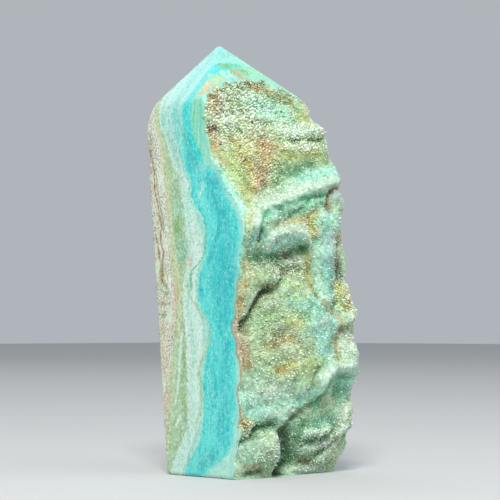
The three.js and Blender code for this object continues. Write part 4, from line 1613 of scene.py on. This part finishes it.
@dataclass(frozen=True)
class BandedStone:
    """Polished stone: mineral sheets that stand upright and run parallel to the grown side.

    Each place has a sheet number: it rises from 0 to 1 through the rim, reaches 1 at the front of the
    first sheet and 2 at the front of the second, and so on, and ends in the cream at the back.
    """

    height: float = 105.0
    depth_low: float = -10.0
    depth_high: float = 40.0
    rim: float = 3.0
    cream: float = 2.6
    drift: float = 0.03
    shoulder: tuple[float, ...] = (66.0, 73.0, 85.0, 90.0)  # heights where it starts, is full, ebbs and ends
    tip_from: tuple[float, float] = (86.0, 94.0)
    vein_fade: float = 0.8
    rust: tuple[float, ...] = (9.0, 15.0, 42.0, 46.0)  # heights, as for the shoulder
    rust_middle: float = 31.0
    roughness: float = 0.27
    sheets: tuple[Sheet, ...] = (
        Sheet("turquoise", (
            (0, 10.5), (4.1, 4.4), (6.5, 1.4), (9, 0.4), (17.5, -0.8), (26.4, -0.5), (35.2, -0.9),
            (39.6, -1.4), (44, -2.2), (53, -2), (57.3, -1.4), (62, 1.5), (66.4, 3.2), (70.2, 8),
            (73.7, 10.6), (78.5, 13.5), (84.2, 13.6), (92, 13.2), (105, 12.4),
        )),
        Sheet("mint", (
            (0, 15.2), (3.7, 13.3), (6, 11.1), (8.3, 10.1), (12.8, 9.1), (17.3, 8.8), (21.8, 9.2),
            (26.3, 8.5), (30.8, 7.6), (35.2, 8.5), (39.7, 10.2), (44.3, 10.6), (48.7, 8.6), (53.2, 7.9),
            (57.7, 8.8), (62.5, 12.4), (67.1, 13.5), (70.6, 15.2), (78.7, 15.8), (84.5, 15.8), (92, 16.2),
            (105, 15.6),
        )),
        Sheet("porcelain", (
            (0, 16.2), (5.9, 13.3), (9.4, 11.9), (12.8, 10.7), (17.3, 10.8), (21.7, 10.9), (26.3, 9.6),
            (30.7, 9.3), (35.2, 10.2), (39.8, 11.8), (46.5, 11.4), (51, 9.7), (55.6, 11.5), (59.1, 12.5),
            (62.5, 13.7), (67.1, 14.9), (70.7, 16.8), (74.2, 17.6), (79.1, 20.1), (83.9, 22.5), (90, 25),
            (105, 27),
        )),
        Sheet("sage", (
            (0, 20.2), (5.7, 17.3), (9.2, 15.3), (12.6, 14.3), (21.7, 14.3), (30.7, 15), (35.3, 15.6),
            (39.8, 15.8), (44, 15.6), (48.9, 14.7), (53.5, 15.3), (59.2, 15.6), (62.7, 16.1), (67.3, 17.1),
            (70.9, 19.1), (76.9, 21.5), (79.3, 23), (84, 25.4), (90, 28.5), (105, 32),
        )),
        Sheet("tan", (
            (0, 22.2), (7.8, 21.1), (17, 20.1), (26.1, 19.3), (31.9, 18), (35.3, 17.7), (39.8, 17),
            (42.1, 17.4), (45.6, 18.4), (53.6, 19.6), (62.9, 20.6), (69.9, 21.6), (74.6, 22.5), (77, 23.5),
            (80.6, 24.9), (84, 26.8), (90, 30.5), (105, 36),
        )),
        Sheet("brown", (
            (0, 22.8), (12, 22), (21.5, 21.6), (30.7, 22), (37.6, 22.2), (43.1, 21.7), (48.7, 22.7),
            (56.3, 22.9), (60.8, 24), (64.3, 25), (67.8, 25.6), (72.5, 26.2), (80, 28.4), (90, 33),
            (105, 38),
        )),
    )
    layers: tuple[tuple[float, Tint], ...] = (
        (0.0, Tint.PALE_MINT), (0.35, Tint.PALE_MINT), (0.55, Tint.MINT), (0.85, Tint.LIGHT_TURQUOISE),
        (1.12, Tint.TURQUOISE), (1.36, Tint.DEEP_TEAL), (1.55, Tint.TURQUOISE), (1.78, Tint.LIGHT_TURQUOISE),
        (1.94, Tint.TURQUOISE), (2.1, Tint.MINT), (2.5, Tint.GREY_TEAL), (2.85, Tint.PALE_MINT),
        (3.08, Tint.PORCELAIN), (3.5, Tint.PALE_MINT), (3.9, Tint.PORCELAIN), (4.05, Tint.SAGE),
        (4.4, Tint.SAGE), (4.7, Tint.SAGE), (4.9, Tint.KHAKI), (5.02, Tint.MOSS),
        (5.14, Tint.IVORY), (5.45, Tint.WHITE), (5.8, Tint.IVORY), (6.0, Tint.CREAM),
        (6.5, Tint.IVORY), (7.0, Tint.IVORY),
    )
    veins: tuple[Vein, ...] = (
        Vein(Tint.TEAL, (
            (69, 11.8), (70.5, 12.4), (72.6, 13.1), (74.9, 14.2), (77.7, 15.8), (79.1, 16.6), (82, 18.2),
        ), 0.45),
        Vein(Tint.TURQUOISE, (
            (68, 8.6), (72.4, 10.6), (74.5, 12.1), (76.8, 13.2), (80.2, 14.3), (84, 15.2), (90, 15.2),
            (96, 14.2),
        ), 1.4, 0.6),
        Vein(Tint.LIGHT_TURQUOISE, ((72, 16), (76, 17), (80, 18), (84, 19)), 0.7, 0.5),
        Vein(Tint.KHAKI, (
            (12, 20.6), (20, 20), (26, 19.3), (32, 17.2), (35.8, 16.8), (39.7, 16.7), (42.7, 17.2),
            (46.7, 18.1), (50.5, 19), (54.7, 19.7), (61.7, 20.5), (69.7, 21.9), (75.3, 23), (80.1, 24.7),
            (83.5, 26.2),
        ), 0.75, 0.7),
        Vein(Tint.OCHRE, ((38.5, 17.8), (40, 17.5), (42, 17.2), (44.4, 17.8)), 0.3, 0.7),
        Vein(Tint.TAN, (
            (31, 19.4), (34.8, 19.1), (37.8, 18.7), (40.8, 18.3), (43.7, 19.1), (46.2, 20.3),
        ), 0.4, 0.7),
        Vein(Tint.BROWN, (
            (49, 22.5), (50.6, 22.3), (53, 23.2), (55.1, 23.4), (56.8, 22.9), (59.1, 23.4), (62.2, 24.3),
            (64.7, 25.2), (69.9, 25.8), (72.6, 26.6),
        ), 0.24, 0.95),
        Vein(Tint.BROWN, ((55, 22.4), (59, 22.6), (64, 24), (68, 24.6), (71, 25.2)), 0.16, 0.7),
        Vein(Tint.TAN, ((22, 21.6), (30, 22), (38, 22.2), (43, 21.7), (47, 22.3)), 0.22, 0.7),
        Vein(Tint.BROWN, ((48.8, 23.1), (50.5, 23.6), (52.3, 24.1), (54.9, 24.8)), 0.25, 0.85),
        Vein(Tint.OLIVE, ((42.6, 21.3), (44.8, 22.5), (47.2, 22.5), (48.8, 22.6)), 0.6),
        Vein(Tint.SEA_GREEN, (
            (42, 13.1), (44.6, 13.2), (46.4, 12.6), (47.7, 11.1), (49.4, 9.3), (51, 8.6), (53.3, 8.2),
            (55.8, 8), (57.4, 8.8),
        ), 0.42),
        Vein(Tint.SAGE, (
            (9.7, 11.5), (12.5, 11.2), (15.2, 10.2), (18.2, 9.6), (20.2, 9.7), (23.2, 10.4), (25.5, 9.6),
            (28.4, 8.2), (31.9, 7.3), (33.8, 7.6), (36.1, 8.9), (38.5, 11.1), (40.1, 13), (41.7, 14.1),
            (44.6, 14.8),
        ), 0.5, 0.75),
        Vein(Tint.DEEP_TEAL, ((48, 7.1), (50.1, 6.4), (52.6, 5.3), (54.5, 4.5), (57.4, 3.8)), 0.7),
        Vein(Tint.LIGHT_TURQUOISE, (
            (47.6, 8.6), (49, 8.2), (52.3, 7.3), (56.2, 7.4), (60.5, 8.4),
        ), 0.7, 0.7),
        Vein(Tint.SAGE, ((11, 20.2), (16.8, 19.8), (22.6, 19.4), (27.2, 18.5), (32.6, 17.9)), 0.55, 0.75),
        Vein(Tint.PORCELAIN, ((15.6, 18.4), (20.3, 17.3), (26.1, 16.5), (32.6, 16.1)), 0.35),
        Vein(Tint.LEAF, ((12, 15), (16.9, 15.7), (20.3, 16.1), (24.9, 15.4), (30.7, 15.1)), 0.45, 0.5),
        Vein(Tint.TEAL, ((2, 14.4), (6, 13.4), (10, 13.8), (14, 15.6)), 0.35, 0.4),
    )
    inclusions: tuple[Inclusion, ...] = (
        Inclusion(Tint.GREY_GREEN, (0, 17.4, 59), (3, 2, 8), 0.55),
        Inclusion(Tint.LEAF, (0, 17.6, 56.2), (3, 1.4, 2.8), 0.6),
        Inclusion(Tint.PALE_MINT, (0, 18.2, 60.4), (3, 1, 1.6), 0.5),
        Inclusion(Tint.GREY_TEAL, (0, 15.5, 51.2), (3, 2.2, 2.8), 0.65),
        Inclusion(Tint.PORCELAIN, (0, 11.6, 51), (3, 1.5, 2.2), 0.7),
        Inclusion(Tint.ROSE_TAN, (0, 13.4, 48.5), (3, 1.5, 1.7), 0.45),
        Inclusion(Tint.OCHRE, (0, 13.2, 48.8), (3, 0.6, 0.7), 0.4),
        Inclusion(Tint.PALE_MINT, (0, 9.8, 54.6), (3, 0.9, 2.4), 0.7),
        Inclusion(Tint.DEEP_TEAL, (0, 4.6, 66.2), (3, 3, 2.4), 0.6),
        Inclusion(Tint.PALE_MINT, (0, 9.6, 69.8), (3, 2, 2.2), 0.4),
        Inclusion(Tint.ICE, (0, 9.4, 65.6), (3, 1, 1.3), 0.4),
        Inclusion(Tint.DEEP_TEAL, (0, 13.4, 71.4), (3, 1.5, 3), 0.55),
        Inclusion(Tint.WHITE, (0, 10.2, 63.6), (3, 0.25, 1.1), 0.95, -16),
        Inclusion(Tint.DEEP_TEAL, (0, -0.4, 45.6), (3, 1.8, 3.4), 0.5),
        Inclusion(Tint.GREY_GREEN, (0, 22.4, 41.9), (3, 0.35, 2.5), 0.85, 74),
        Inclusion(Tint.GREY_GREEN, (0, 22.8, 38.9), (3, 0.3, 1.5), 0.85, -52),
        Inclusion(Tint.GREY_GREEN, (0, 22.3, 36.2), (3, 0.65, 2.1), 0.8, -68),
        Inclusion(Tint.OLIVE, (0, 27.2, 75.4), (3, 0.8, 3.4), 0.6),
        Inclusion(Tint.WHITE, (0, 17.1, 12.5), (3, 0.4, 1.8), 0.95, -35),
        Inclusion(Tint.ROSE_TAN, (0, 20.9, 17), (3, 1, 4.6), 0.45),
        Inclusion(Tint.PALE_MINT, (0, 3.4, 1.6), (3, 4, 1.8), 0.7),
        Inclusion(Tint.DEEP_TEAL, (0, 3.4, 45), (3, 4.5, 12), 0.5),
        Inclusion(Tint.GREY_GREEN, (0, 15.4, 51.4), (3, 2.4, 3.4), 0.5),
        Inclusion(Tint.MINT, (0, 14.2, 61.4), (3, 2, 3.4), 0.6),
        Inclusion(Tint.TEAL, (0, 8, 3), (3, 10, 3), 0.25),
        Inclusion(Tint.SPRING, (25, 14.5, 93.5), (12, 6, 5.5)),
        Inclusion(Tint.PALE_MINT, (12, 14, 92.4), (3, 2, 1.6)),
        Inclusion(Tint.LEAF, (13.6, 15.6, 95), (3, 1.4, 1), 0.75),
        Inclusion(Tint.JADE, (16.4, 15.4, 95.2), (2.6, 1.2, 0.8)),
        Inclusion(Tint.LEAF, (18.4, 14.6, 93.8), (2.2, 1.4, 1.1), 0.7),
        Inclusion(Tint.OCHRE, (15.8, 14.2, 93.2), (1.6, 1.4, 1.3), 0.95),
        Inclusion(Tint.OCHRE, (17.4, 13.2, 91.9), (2.2, 1.2, 0.8), 0.9),
        Inclusion(Tint.AMBER, (23.4, 12.2, 90.4), (5, 1, 0.6)),
        Inclusion(Tint.AMBER, (2.4, 10.8, 87.6), (2.4, 2.4, 1.7), 0.75),
        Inclusion(Tint.HONEY, (5.2, 11.6, 89.2), (2.8, 2.4, 1.6), 0.7),
        Inclusion(Tint.LIME, (8.6, 12.8, 91.1), (3.2, 2.2, 1.4), 0.7),
    )

    def material(self) -> bpy.types.Material:
        """Builds the material.

        Returns:
            The material.
        """
        bands = Bands(self)
        bands.lay_shoulder()
        bands.lay_laminae()
        bands.lay_clouds()
        bands.lay_specks()
        for vein in self.veins:
            bands.lay_vein(vein)
        for inclusion in self.inclusions:
            bands.lay_inclusion(inclusion)
        bands.lay_sugar()
        bands.lay_rust_edge()
        return bands.finish({
            "Base Color": bands.colour,
            "Roughness": bands.rise(
                bands.noise(0.6, 4, 0.6), 0.3, 0.75, (self.roughness - 0.06, self.roughness + 0.12)
            ),
            "IOR": 1.6,
            "Subsurface Weight": 0.18,
            "Subsurface Radius": (0.9, 1.2, 1.1),
            "Subsurface Scale": MM,
            "Normal": bands.bump(bands.noise(2.4, 3, 0.6), strength=0.12, distance=0.08),
        })


class Bands(Wiring):
    """The colour of the polished stone, laid on one thing after another."""

    def __init__(self, stone: BandedStone) -> None:
        """Starts with the plain colour of each sheet.

        Args:
            stone: the sheets and their sizes.
        """
        super().__init__("banded_stone")
        self.stone = stone
        self.x, self.y, self.z = self.add("SeparateXYZ", self.place).outputs
        self.up = self.math("DIVIDE", self.z, stone.height, clamp=True)
        self.ragged = self.rise(self.noise(1.1, 4, 0.75), 0, 1, (-1.9, 1.9))
        self.depth = self.warped_depth()
        self.sheet = self.sheet_number()
        self.colour = self.sheet_colour()

    def warped_depth(self) -> Socket:
        """The depth in the stone, swirled and rippled as its sheets are.

        Returns:
            The depth in millimetres.
        """
        swirl = self.noise(0.22, 3, 0.55, stretch=(0.5, 1, 0.55))
        ripple = self.noise(1.1, 3, 0.6, stretch=(0.7, 1, 0.5), shift=(40, 9, 3))
        off = self.plus(self.rise(swirl, 0, 1, (-0.9, 0.9)), self.rise(ripple, 0, 1, (-0.5, 0.5)))
        return self.plus(self.plus(self.y, off), self.times(self.x, self.stone.drift))

    def sheet_number(self) -> Socket:
        """Which layer a place is in, as a number that grows from the grown side to the back.

        Returns:
            The number.
        """
        lace = self.rise(self.noise(2.1, 2, 0.6, stretch=(1, 1, 0.6), shift=(5, 70, 18)), 0, 1, (-1.1, 1.1))
        laced = self.plus(self.depth, lace)
        edges = [self.edge_depth(sheet.edge) for sheet in self.stone.sheets]
        edges.insert(0, self.minus(edges[0], self.stone.rim))
        edges.append(self.plus(edges[-1], self.stone.cream))
        total: Value = 0.0
        for near, far in zip(edges, edges[1:]):
            total = self.plus(total, self.rise(laced, near, far))
        return total

    def sheet_colour(self) -> Socket:
        """The plain colour at each sheet number.

        Returns:
            The colour.
        """
        layers = self.stone.layers
        top = len(self.stone.sheets) + 1
        ramp = self.add("ValToRGB", self.math("DIVIDE", self.sheet, top))
        stops = ramp.color_ramp.elements
        while len(stops) < len(layers):
            stops.new(0.5)
        for stop, (at, tint) in zip(stops, layers):
            stop.position = at / top
            stop.color = tint.rgba
        return ramp.outputs["Color"]

    def edge_depth(self, edge: Line) -> Socket:
        """A depth that follows a curve through an edge's points.

        Args:
            edge: the points, each (height, depth).

        Returns:
            The depth in millimetres.
        """
        stone = self.stone
        node = self.add("FloatCurve")
        self.feed(node.inputs["Value"], self.up)
        points = node.mapping.curves[0].points
        while len(points) < len(edge):
            points.new(0.5, 0.5)
        span = stone.depth_high - stone.depth_low
        for point, (z, y) in zip(points, edge):
            point.location = (z / stone.height, (y - stone.depth_low) / span)
            point.handle_type = "AUTO_CLAMPED"
        node.mapping.update()
        return self.math("MULTIPLY_ADD", node.outputs[0], span, stone.depth_low)

    def lay(self, share: Value, tint: Value) -> None:
        """Lays a share of a colour over what is there."""
        self.colour = self.mix(share, self.colour, tint)

    def between(self, value: Socket, start: float, full: float, ebb: float, end: float) -> Socket:
        """1 from full to ebb, 0 before start and after end, and soft between them."""
        return self.times(self.soft_rise(value, start, full), self.soft_rise(value, end, ebb))

    def lay_shoulder(self) -> None:
        """Lays on the shoulder's grey-green stone in front of the turquoise, and the tip's mist."""
        z, sheet = self.z, self.sheet
        high = self.between(z, *self.stone.shoulder)
        mottled = self.rise(self.noise(0.9, 4, 0.65, stretch=(1, 1, 0.5), shift=(9, 9, 77)), 0.4, 0.64)
        self.lay(self.times(mottled, self.soft_rise(sheet, 1.0, 0.6), 0.4), Tint.GREY_TEAL)
        upper = self.times(self.soft_rise(z, 70, 82), self.rise(sheet, 4.1, 3.6, (0, 0.3)))
        self.lay(upper, Tint.LIGHT_TURQUOISE)
        streaks = self.noise(0.9, 4, 0.6, stretch=(0.4, 1.6, 0.16))
        grey = self.mix(self.rise(streaks, 0.35, 0.7), Tint.JADE, Tint.MINT)
        self.lay(self.times(high, self.soft_rise(sheet, 1.02, 0.9)), grey)
        behind = self.between(sheet, 2.0, 2.3, 3.5, 4.1)
        self.lay(self.times(high, behind, self.rise(streaks, 0.62, 0.4, (0.25, 0.95))), Tint.GREY_TEAL)
        tip = self.times(self.soft_rise(z, *self.stone.tip_from), self.rise(streaks, 0.3, 0.7, (0.35, 0.75)))
        self.lay(tip, Tint.MIST)

    def lay_laminae(self) -> None:
        """Lays on fine lines that follow the sheets, strongest in the pale layers."""
        along = self.add(
            "CombineXYZ", self.times(self.sheet, 5.2), self.times(self.z, 0.05), self.times(self.x, 0.05)
        )
        lines = self.noise(1.0, 5, 0.68, at=along.outputs[0])
        strength = self.rise(self.soft_rise(self.sheet, 1.9, 2.3), 0, 1, (0.12, 0.55))
        dark = self.mix(1.0, self.colour, (0.66, 0.7, 0.6, 1), "MULTIPLY")
        light = self.mix(0.75, self.colour, Tint.PORCELAIN)
        self.lay(self.times(self.rise(lines, 0.5, 0.36), strength), dark)
        self.lay(self.times(self.rise(lines, 0.54, 0.68), strength), light)

    def lay_clouds(self) -> None:
        """Lays clouds, streaks and dark specks on the turquoise layer."""
        plain = self.colour
        clouds = self.noise(0.42, 5, 0.62, stretch=(0.6, 1, 0.42))
        self.lay(self.rise(clouds, 0.42, 0.68), Tint.LIGHT_TURQUOISE)
        self.lay(self.rise(clouds, 0.46, 0.3), Tint.DEEP_TEAL)
        where = self.soft_rise(self.noise(0.28, 2, 0.5, stretch=(1, 1, 0.6), shift=(7, 31, 12)), 0.44, 0.62)
        fine = self.noise(2.3, 3, 0.7, stretch=(1, 1, 0.7), shift=(3, 3, 3))
        self.lay(self.times(self.rise(fine, 0.54, 0.66), where, 0.75), Tint.DEEP_TEAL)
        pale = self.noise(1.9, 3, 0.7, stretch=(1, 1, 0.8), shift=(51, 8, 90))
        self.lay(self.rise(pale, 0.58, 0.74, (0, 0.45)), Tint.PALE_MINT)
        streaks = self.noise(1.3, 4, 0.65, stretch=(0.5, 1.7, 0.14), shift=(6, 2, 44))
        self.lay(self.rise(streaks, 0.54, 0.7, (0, 0.85)), Tint.LIGHT_TURQUOISE)
        self.lay(self.rise(streaks, 0.46, 0.3, (0, 0.9)), Tint.DEEP_TEAL)
        self.colour = self.mix(self.between(self.sheet, 0.9, 1.08, 1.95, 2.12), plain, self.colour)

    def lay_specks(self) -> None:
        """Lays dark grains and a blush on the cream layer, and grey grains on the porcelain."""
        sheet = self.sheet
        fine = self.noise(2.6, 3, 0.75)
        patchy = self.soft_rise(self.noise(0.3, 2, 0.5, stretch=(1, 1, 0.5), shift=(80, 2, 5)), 0.32, 0.52)
        cream = self.times(self.soft_rise(sheet, 4.95, 5.2), patchy)
        self.lay(self.times(self.rise(fine, 0.5, 0.58), cream), Tint.BROWN)
        white = self.between(sheet, 3.0, 3.15, 3.85, 4.0)
        self.lay(self.times(self.rise(fine, 0.5, 0.36), white, 0.55), Tint.GREY_GREEN)
        blush = self.soft_rise(self.noise(0.35, 3, 0.5, stretch=(1, 1, 0.6), shift=(14, 66, 2)), 0.52, 0.66)
        self.lay(self.times(blush, self.soft_rise(sheet, 5.1, 5.5), 0.25), Tint.ROSE_TAN)

    def lay_vein(self, vein: Vein) -> None:
        """Lays on one thin line along the sheets, fading out at both ends.

        Args:
            vein: the line.
        """
        gap = self.math("ABSOLUTE", self.minus(self.depth, self.edge_depth(vein.line)))
        near = self.soft_rise(gap, vein.width * 1.5, vein.width * 0.2)
        low, high = vein.line[0][0], vein.line[-1][0]
        fade = self.stone.vein_fade
        ends = self.between(self.z, low - fade, low + fade, high - fade, high + fade)
        self.lay(self.times(near, ends, vein.strength), vein.tint)

    def lay_inclusion(self, patch: Inclusion) -> None:
        """Lays on one patch of another colour, with a rough edge.

        Args:
            patch: the patch.
        """
        turned = self.add("VectorRotate", self.place, patch.at, rotation_type="X_AXIS")
        self.feed(turned.inputs["Angle"], math.radians(patch.turn))
        inverse = tuple(1 / size for size in patch.half)
        centre = tuple(-a / size for a, size in zip(patch.at, patch.half))
        sized = self.stretched(turned.outputs[0], inverse, centre)
        reach = self.add("VectorMath", sized, operation="LENGTH").outputs["Value"]
        share = self.soft_rise(self.plus(reach, self.ragged), 1.2, 0.4)
        self.lay(self.times(share, patch.strength), patch.tint)

    def lay_sugar(self) -> None:
        """Lays on the cut crystals of the stone: pale and deep grains about half a millimetre wide."""
        grains = self.noise(1.9, 2, 0.7, stretch=(1, 1, 0.8), shift=(33, 4, 9))
        patches = self.noise(0.3, 2, 0.5, stretch=(1, 1, 0.5), shift=(2, 45, 31))
        patchy = self.rise(patches, 0.35, 0.65, (0.55, 1))
        strength = self.math("MULTIPLY", patchy, self.rise(self.sheet, 2, 2.6, (0.7, 1.3)), clamp=True)
        deep = self.mix(1.0, self.colour, (0.5, 0.7, 0.62, 1), "MULTIPLY")
        pale = self.mix(0.7, self.colour, Tint.ICE)
        self.lay(self.times(self.rise(grains, 0.5, 0.28), strength), deep)
        self.lay(self.times(self.rise(grains, 0.5, 0.72), strength), pale)

    def lay_rust_edge(self) -> None:
        """Lays on a stained line where the polish meets the grown side, with tan before it.

        A dull rim lies behind the line.
        """
        gap = self.add("Attribute", attribute_name=TO_CRUST).outputs["Fac"]
        behind = self.plus(gap, self.rise(self.noise(0.8, 3, 0.6), 0, 1, (-0.35, 0.35)))
        self.lay(self.times(self.soft_rise(behind, 1.7, 0.5), 0.5), Tint.GREY_TEAL)
        off = self.math("ABSOLUTE", self.minus(self.z, self.stone.rust_middle))
        edge = self.math("MULTIPLY_ADD", self.soft_rise(off, 7.5, 2), 1.1, 0.3)
        low = self.between(self.z, *self.stone.rust)
        patches = self.noise(0.16, 2, 0.5, stretch=(0, 0, 1), shift=(0, 0, 7))
        patchy = self.rise(patches, 0.36, 0.62, (0.4, 1))
        line = self.soft_rise(behind, self.plus(edge, 0.3), edge)
        self.lay(self.times(line, low, patchy, 0.9), Tint.RUST)
        before = self.soft_rise(behind, self.minus(edge, 0.2), self.minus(edge, 0.6))
        grains = self.rise(self.noise(1.7, 2, 0.7, stretch=(1, 1, 0.8), shift=(33, 4, 9)), 0.36, 0.64)
        tan = self.mix(grains, Tint.BROWN, Tint.CREAM)
        self.lay(self.times(before, low, 0.85), tan)


@dataclass(frozen=True)
class CrustFinish:
    """The grown surface between the crystals: their stain, darkened by painted shade and grainy."""

    gap_shade_factor: float = 0.86
    roughness: float = 0.5

    def material(self) -> bpy.types.Material:
        """Builds the material.

        Returns:
            The material.
        """
        w = Wiring("grown_crust")
        stained = w.add("Attribute", attribute_name=STAIN_AND_SHADING)
        stain_and_shading, bare = stained.outputs["Color"], stained.outputs["Alpha"]
        grains = w.noise(2.2, 4, 0.7)
        # painted shade between the crystals, broken up by grain and left off where the side is bare
        deep = w.mix(1.0, stain_and_shading, (self.gap_shade_factor, self.gap_shade_factor, self.gap_shade_factor * 0.94, 1), "MULTIPLY")
        pale = w.math("MAXIMUM", w.rise(grains, 0.4, 0.62), bare)
        return w.finish({
            "Base Color": w.mix(pale, deep, stain_and_shading),
            "Roughness": w.rise(grains, 0.3, 0.7, (self.roughness + 0.1, self.roughness - 0.1)),
            "Subsurface Weight": 0.15,
            "Subsurface Radius": (0.8, 1.0, 0.9),
            "Subsurface Scale": 0.6 * MM,
            "Normal": w.bump(grains, strength=0.6, distance=0.2),
        })


@dataclass(frozen=True)
class CrystalFinish:
    """Glassy, cloudy crystals: painted shade at the root, paler and clearer tips partly painted light."""

    roughness: float = 0.3

    def material(self) -> bpy.types.Material:
        """Builds the material.

        Returns:
            The material.
        """
        w = Wiring("sugar_crystal")
        stain_and_shading = w.add("Attribute", attribute_name=STAIN_AND_SHADING)
        colour, height = stain_and_shading.outputs["Color"], stain_and_shading.outputs["Alpha"]
        # painted shade at the root, between neighbouring crystals
        root = w.mix(1.0, colour, (0.56, 0.68, 0.56, 1), "MULTIPLY")
        # paler tips: partly their own clearer tips, partly painted light
        tip = w.mix(0.16, colour, Tint.GLINT)
        cloud = w.rise(w.noise(3.0), 0.3, 0.7, (-0.12, 0.12))
        return w.finish({
            "Base Color": w.mix(w.soft_rise(w.plus(height, cloud), 0.42, 0.72), root, tip),
            "Roughness": w.rise(cloud, -0.12, 0.12, (self.roughness - 0.08, self.roughness + 0.14)),
            "IOR": 1.61,
            "Specular IOR Level": 0.35,
            "Subsurface Weight": 0.5,
            "Subsurface Radius": (0.8, 1.0, 0.9),
            "Subsurface Scale": 0.5 * MM,
        })


@dataclass(frozen=True)
class PaleFloor:
    """The plain floor under the stone."""

    tone: float = 0.62

    def material(self) -> bpy.types.Material:
        """Builds the material.

        Returns:
            The material.
        """
        w = Wiring("pale_floor")
        pale = (self.tone, self.tone, self.tone * 0.985, 1)
        dim = tuple(0.97 * x for x in pale[:3]) + (1,)
        grain = w.noise(6.0, 3, at=w.metres)
        return w.finish({"Base Color": w.mix(grain, pale, dim), "Roughness": 0.75})


def bearing(azimuth: float, elevation: float) -> Vector:
    """The direction at an azimuth from -Y towards +X and an elevation, both in degrees."""
    turn, rise = math.radians(azimuth), math.radians(elevation)
    return Vector((math.sin(turn) * math.cos(rise), -math.cos(turn) * math.cos(rise), math.sin(rise)))


@dataclass
class Studio:
    """Floor, soft lights and the camera: metres and degrees, and millimetres for lens and sensor."""

    floor_size: float = 6.0
    turn: float = 46.0
    tilt: float = 2.694
    lens: float = 122.4
    sensor: float = 36.0
    nearest: float = 0.01
    camera_at: tuple[float, float, float] = (-0.28523, -0.27403, 0.03299)
    middle: float = 0.05
    surround: tuple[float, float, float, float] = (0.78, 0.84, 0.9, 1)
    surround_strength: float = 0.55

    def build(self) -> None:
        """Sets up everything that isn't the stone."""
        self.floor()
        self.light("key", azimuth=-49, elevation=45, distance=0.9, size=0.24, power=7.3)
        self.light("fill", azimuth=20, elevation=35, distance=1.2, size=1.0, power=2.6)
        self.light("back", azimuth=160, elevation=50, distance=1.2, size=0.8, power=1.5)
        self.world()
        self.camera()
        bpy.context.scene.view_settings.view_transform = "Standard"

    def floor(self) -> None:
        """The floor: one wide sheet at the stone's foot."""
        shell = bmesh.new()
        bmesh.ops.create_grid(shell, x_segments=8, y_segments=8, size=self.floor_size / 2)
        mesh = bpy.data.meshes.new("floor")
        shell.to_mesh(mesh)
        shell.free()
        mesh.materials.append(PaleFloor().material())
        new_object("floor", mesh)

    def light(
        self, name: str, azimuth: float, elevation: float, distance: float, size: float, power: float
    ) -> None:
        """One square light that faces the stone's middle.

        Args:
            name: its name.
            azimuth: degrees from -Y towards +X.
            elevation: degrees over the floor.
            distance: metres from the stone.
            size: metres along each side.
            power: watts.
        """
        lamp = bpy.data.lights.new(name, "AREA")
        lamp.energy = power
        lamp.size = size
        holder = new_object(name, lamp)
        way = bearing(azimuth, elevation)
        holder.location = way * distance + Vector((0, 0, self.middle))
        holder.rotation_euler = way.to_track_quat("Z", "Y").to_euler()

    def world(self) -> None:
        """An even pale surround."""
        world = bpy.data.worlds.new("surround")
        bpy.context.scene.world = world
        world.use_nodes = True
        background = world.node_tree.nodes["Background"]
        background.inputs["Color"].default_value = self.surround
        background.inputs["Strength"].default_value = self.surround_strength

    def camera(self) -> None:
        """The camera, low in front of the corner between the polished and the grown side."""
        lens = bpy.data.cameras.new("camera")
        lens.lens = self.lens
        lens.sensor_width = self.sensor
        lens.clip_start = self.nearest
        holder = new_object("camera", lens)
        x, y, z = bearing(self.turn, self.tilt)
        holder.location = self.camera_at
        holder.rotation_euler = Vector((x, -y, z)).to_track_quat("-Z", "Y").to_euler()
        bpy.context.scene.camera = holder


def main() -> None:
    """Builds the stone, its crystals and the studio."""
    logging.basicConfig(level=logging.INFO, format="%(message)s")
    side = GrownSide()
    point = StonePoint(side, PolishedSkin())
    stone = point.build()
    point.dress(stone)
    crust = CrystalCrust(side, stone)
    crystals = crust.build()
    crust.dress(crystals)
    for piece in (stone, *crystals):
        declare(piece)
        logging.info("%s: %d faces", piece.name, len(piece.data.polygons))
    Studio().build()


if __name__ == "__main__":
    main()
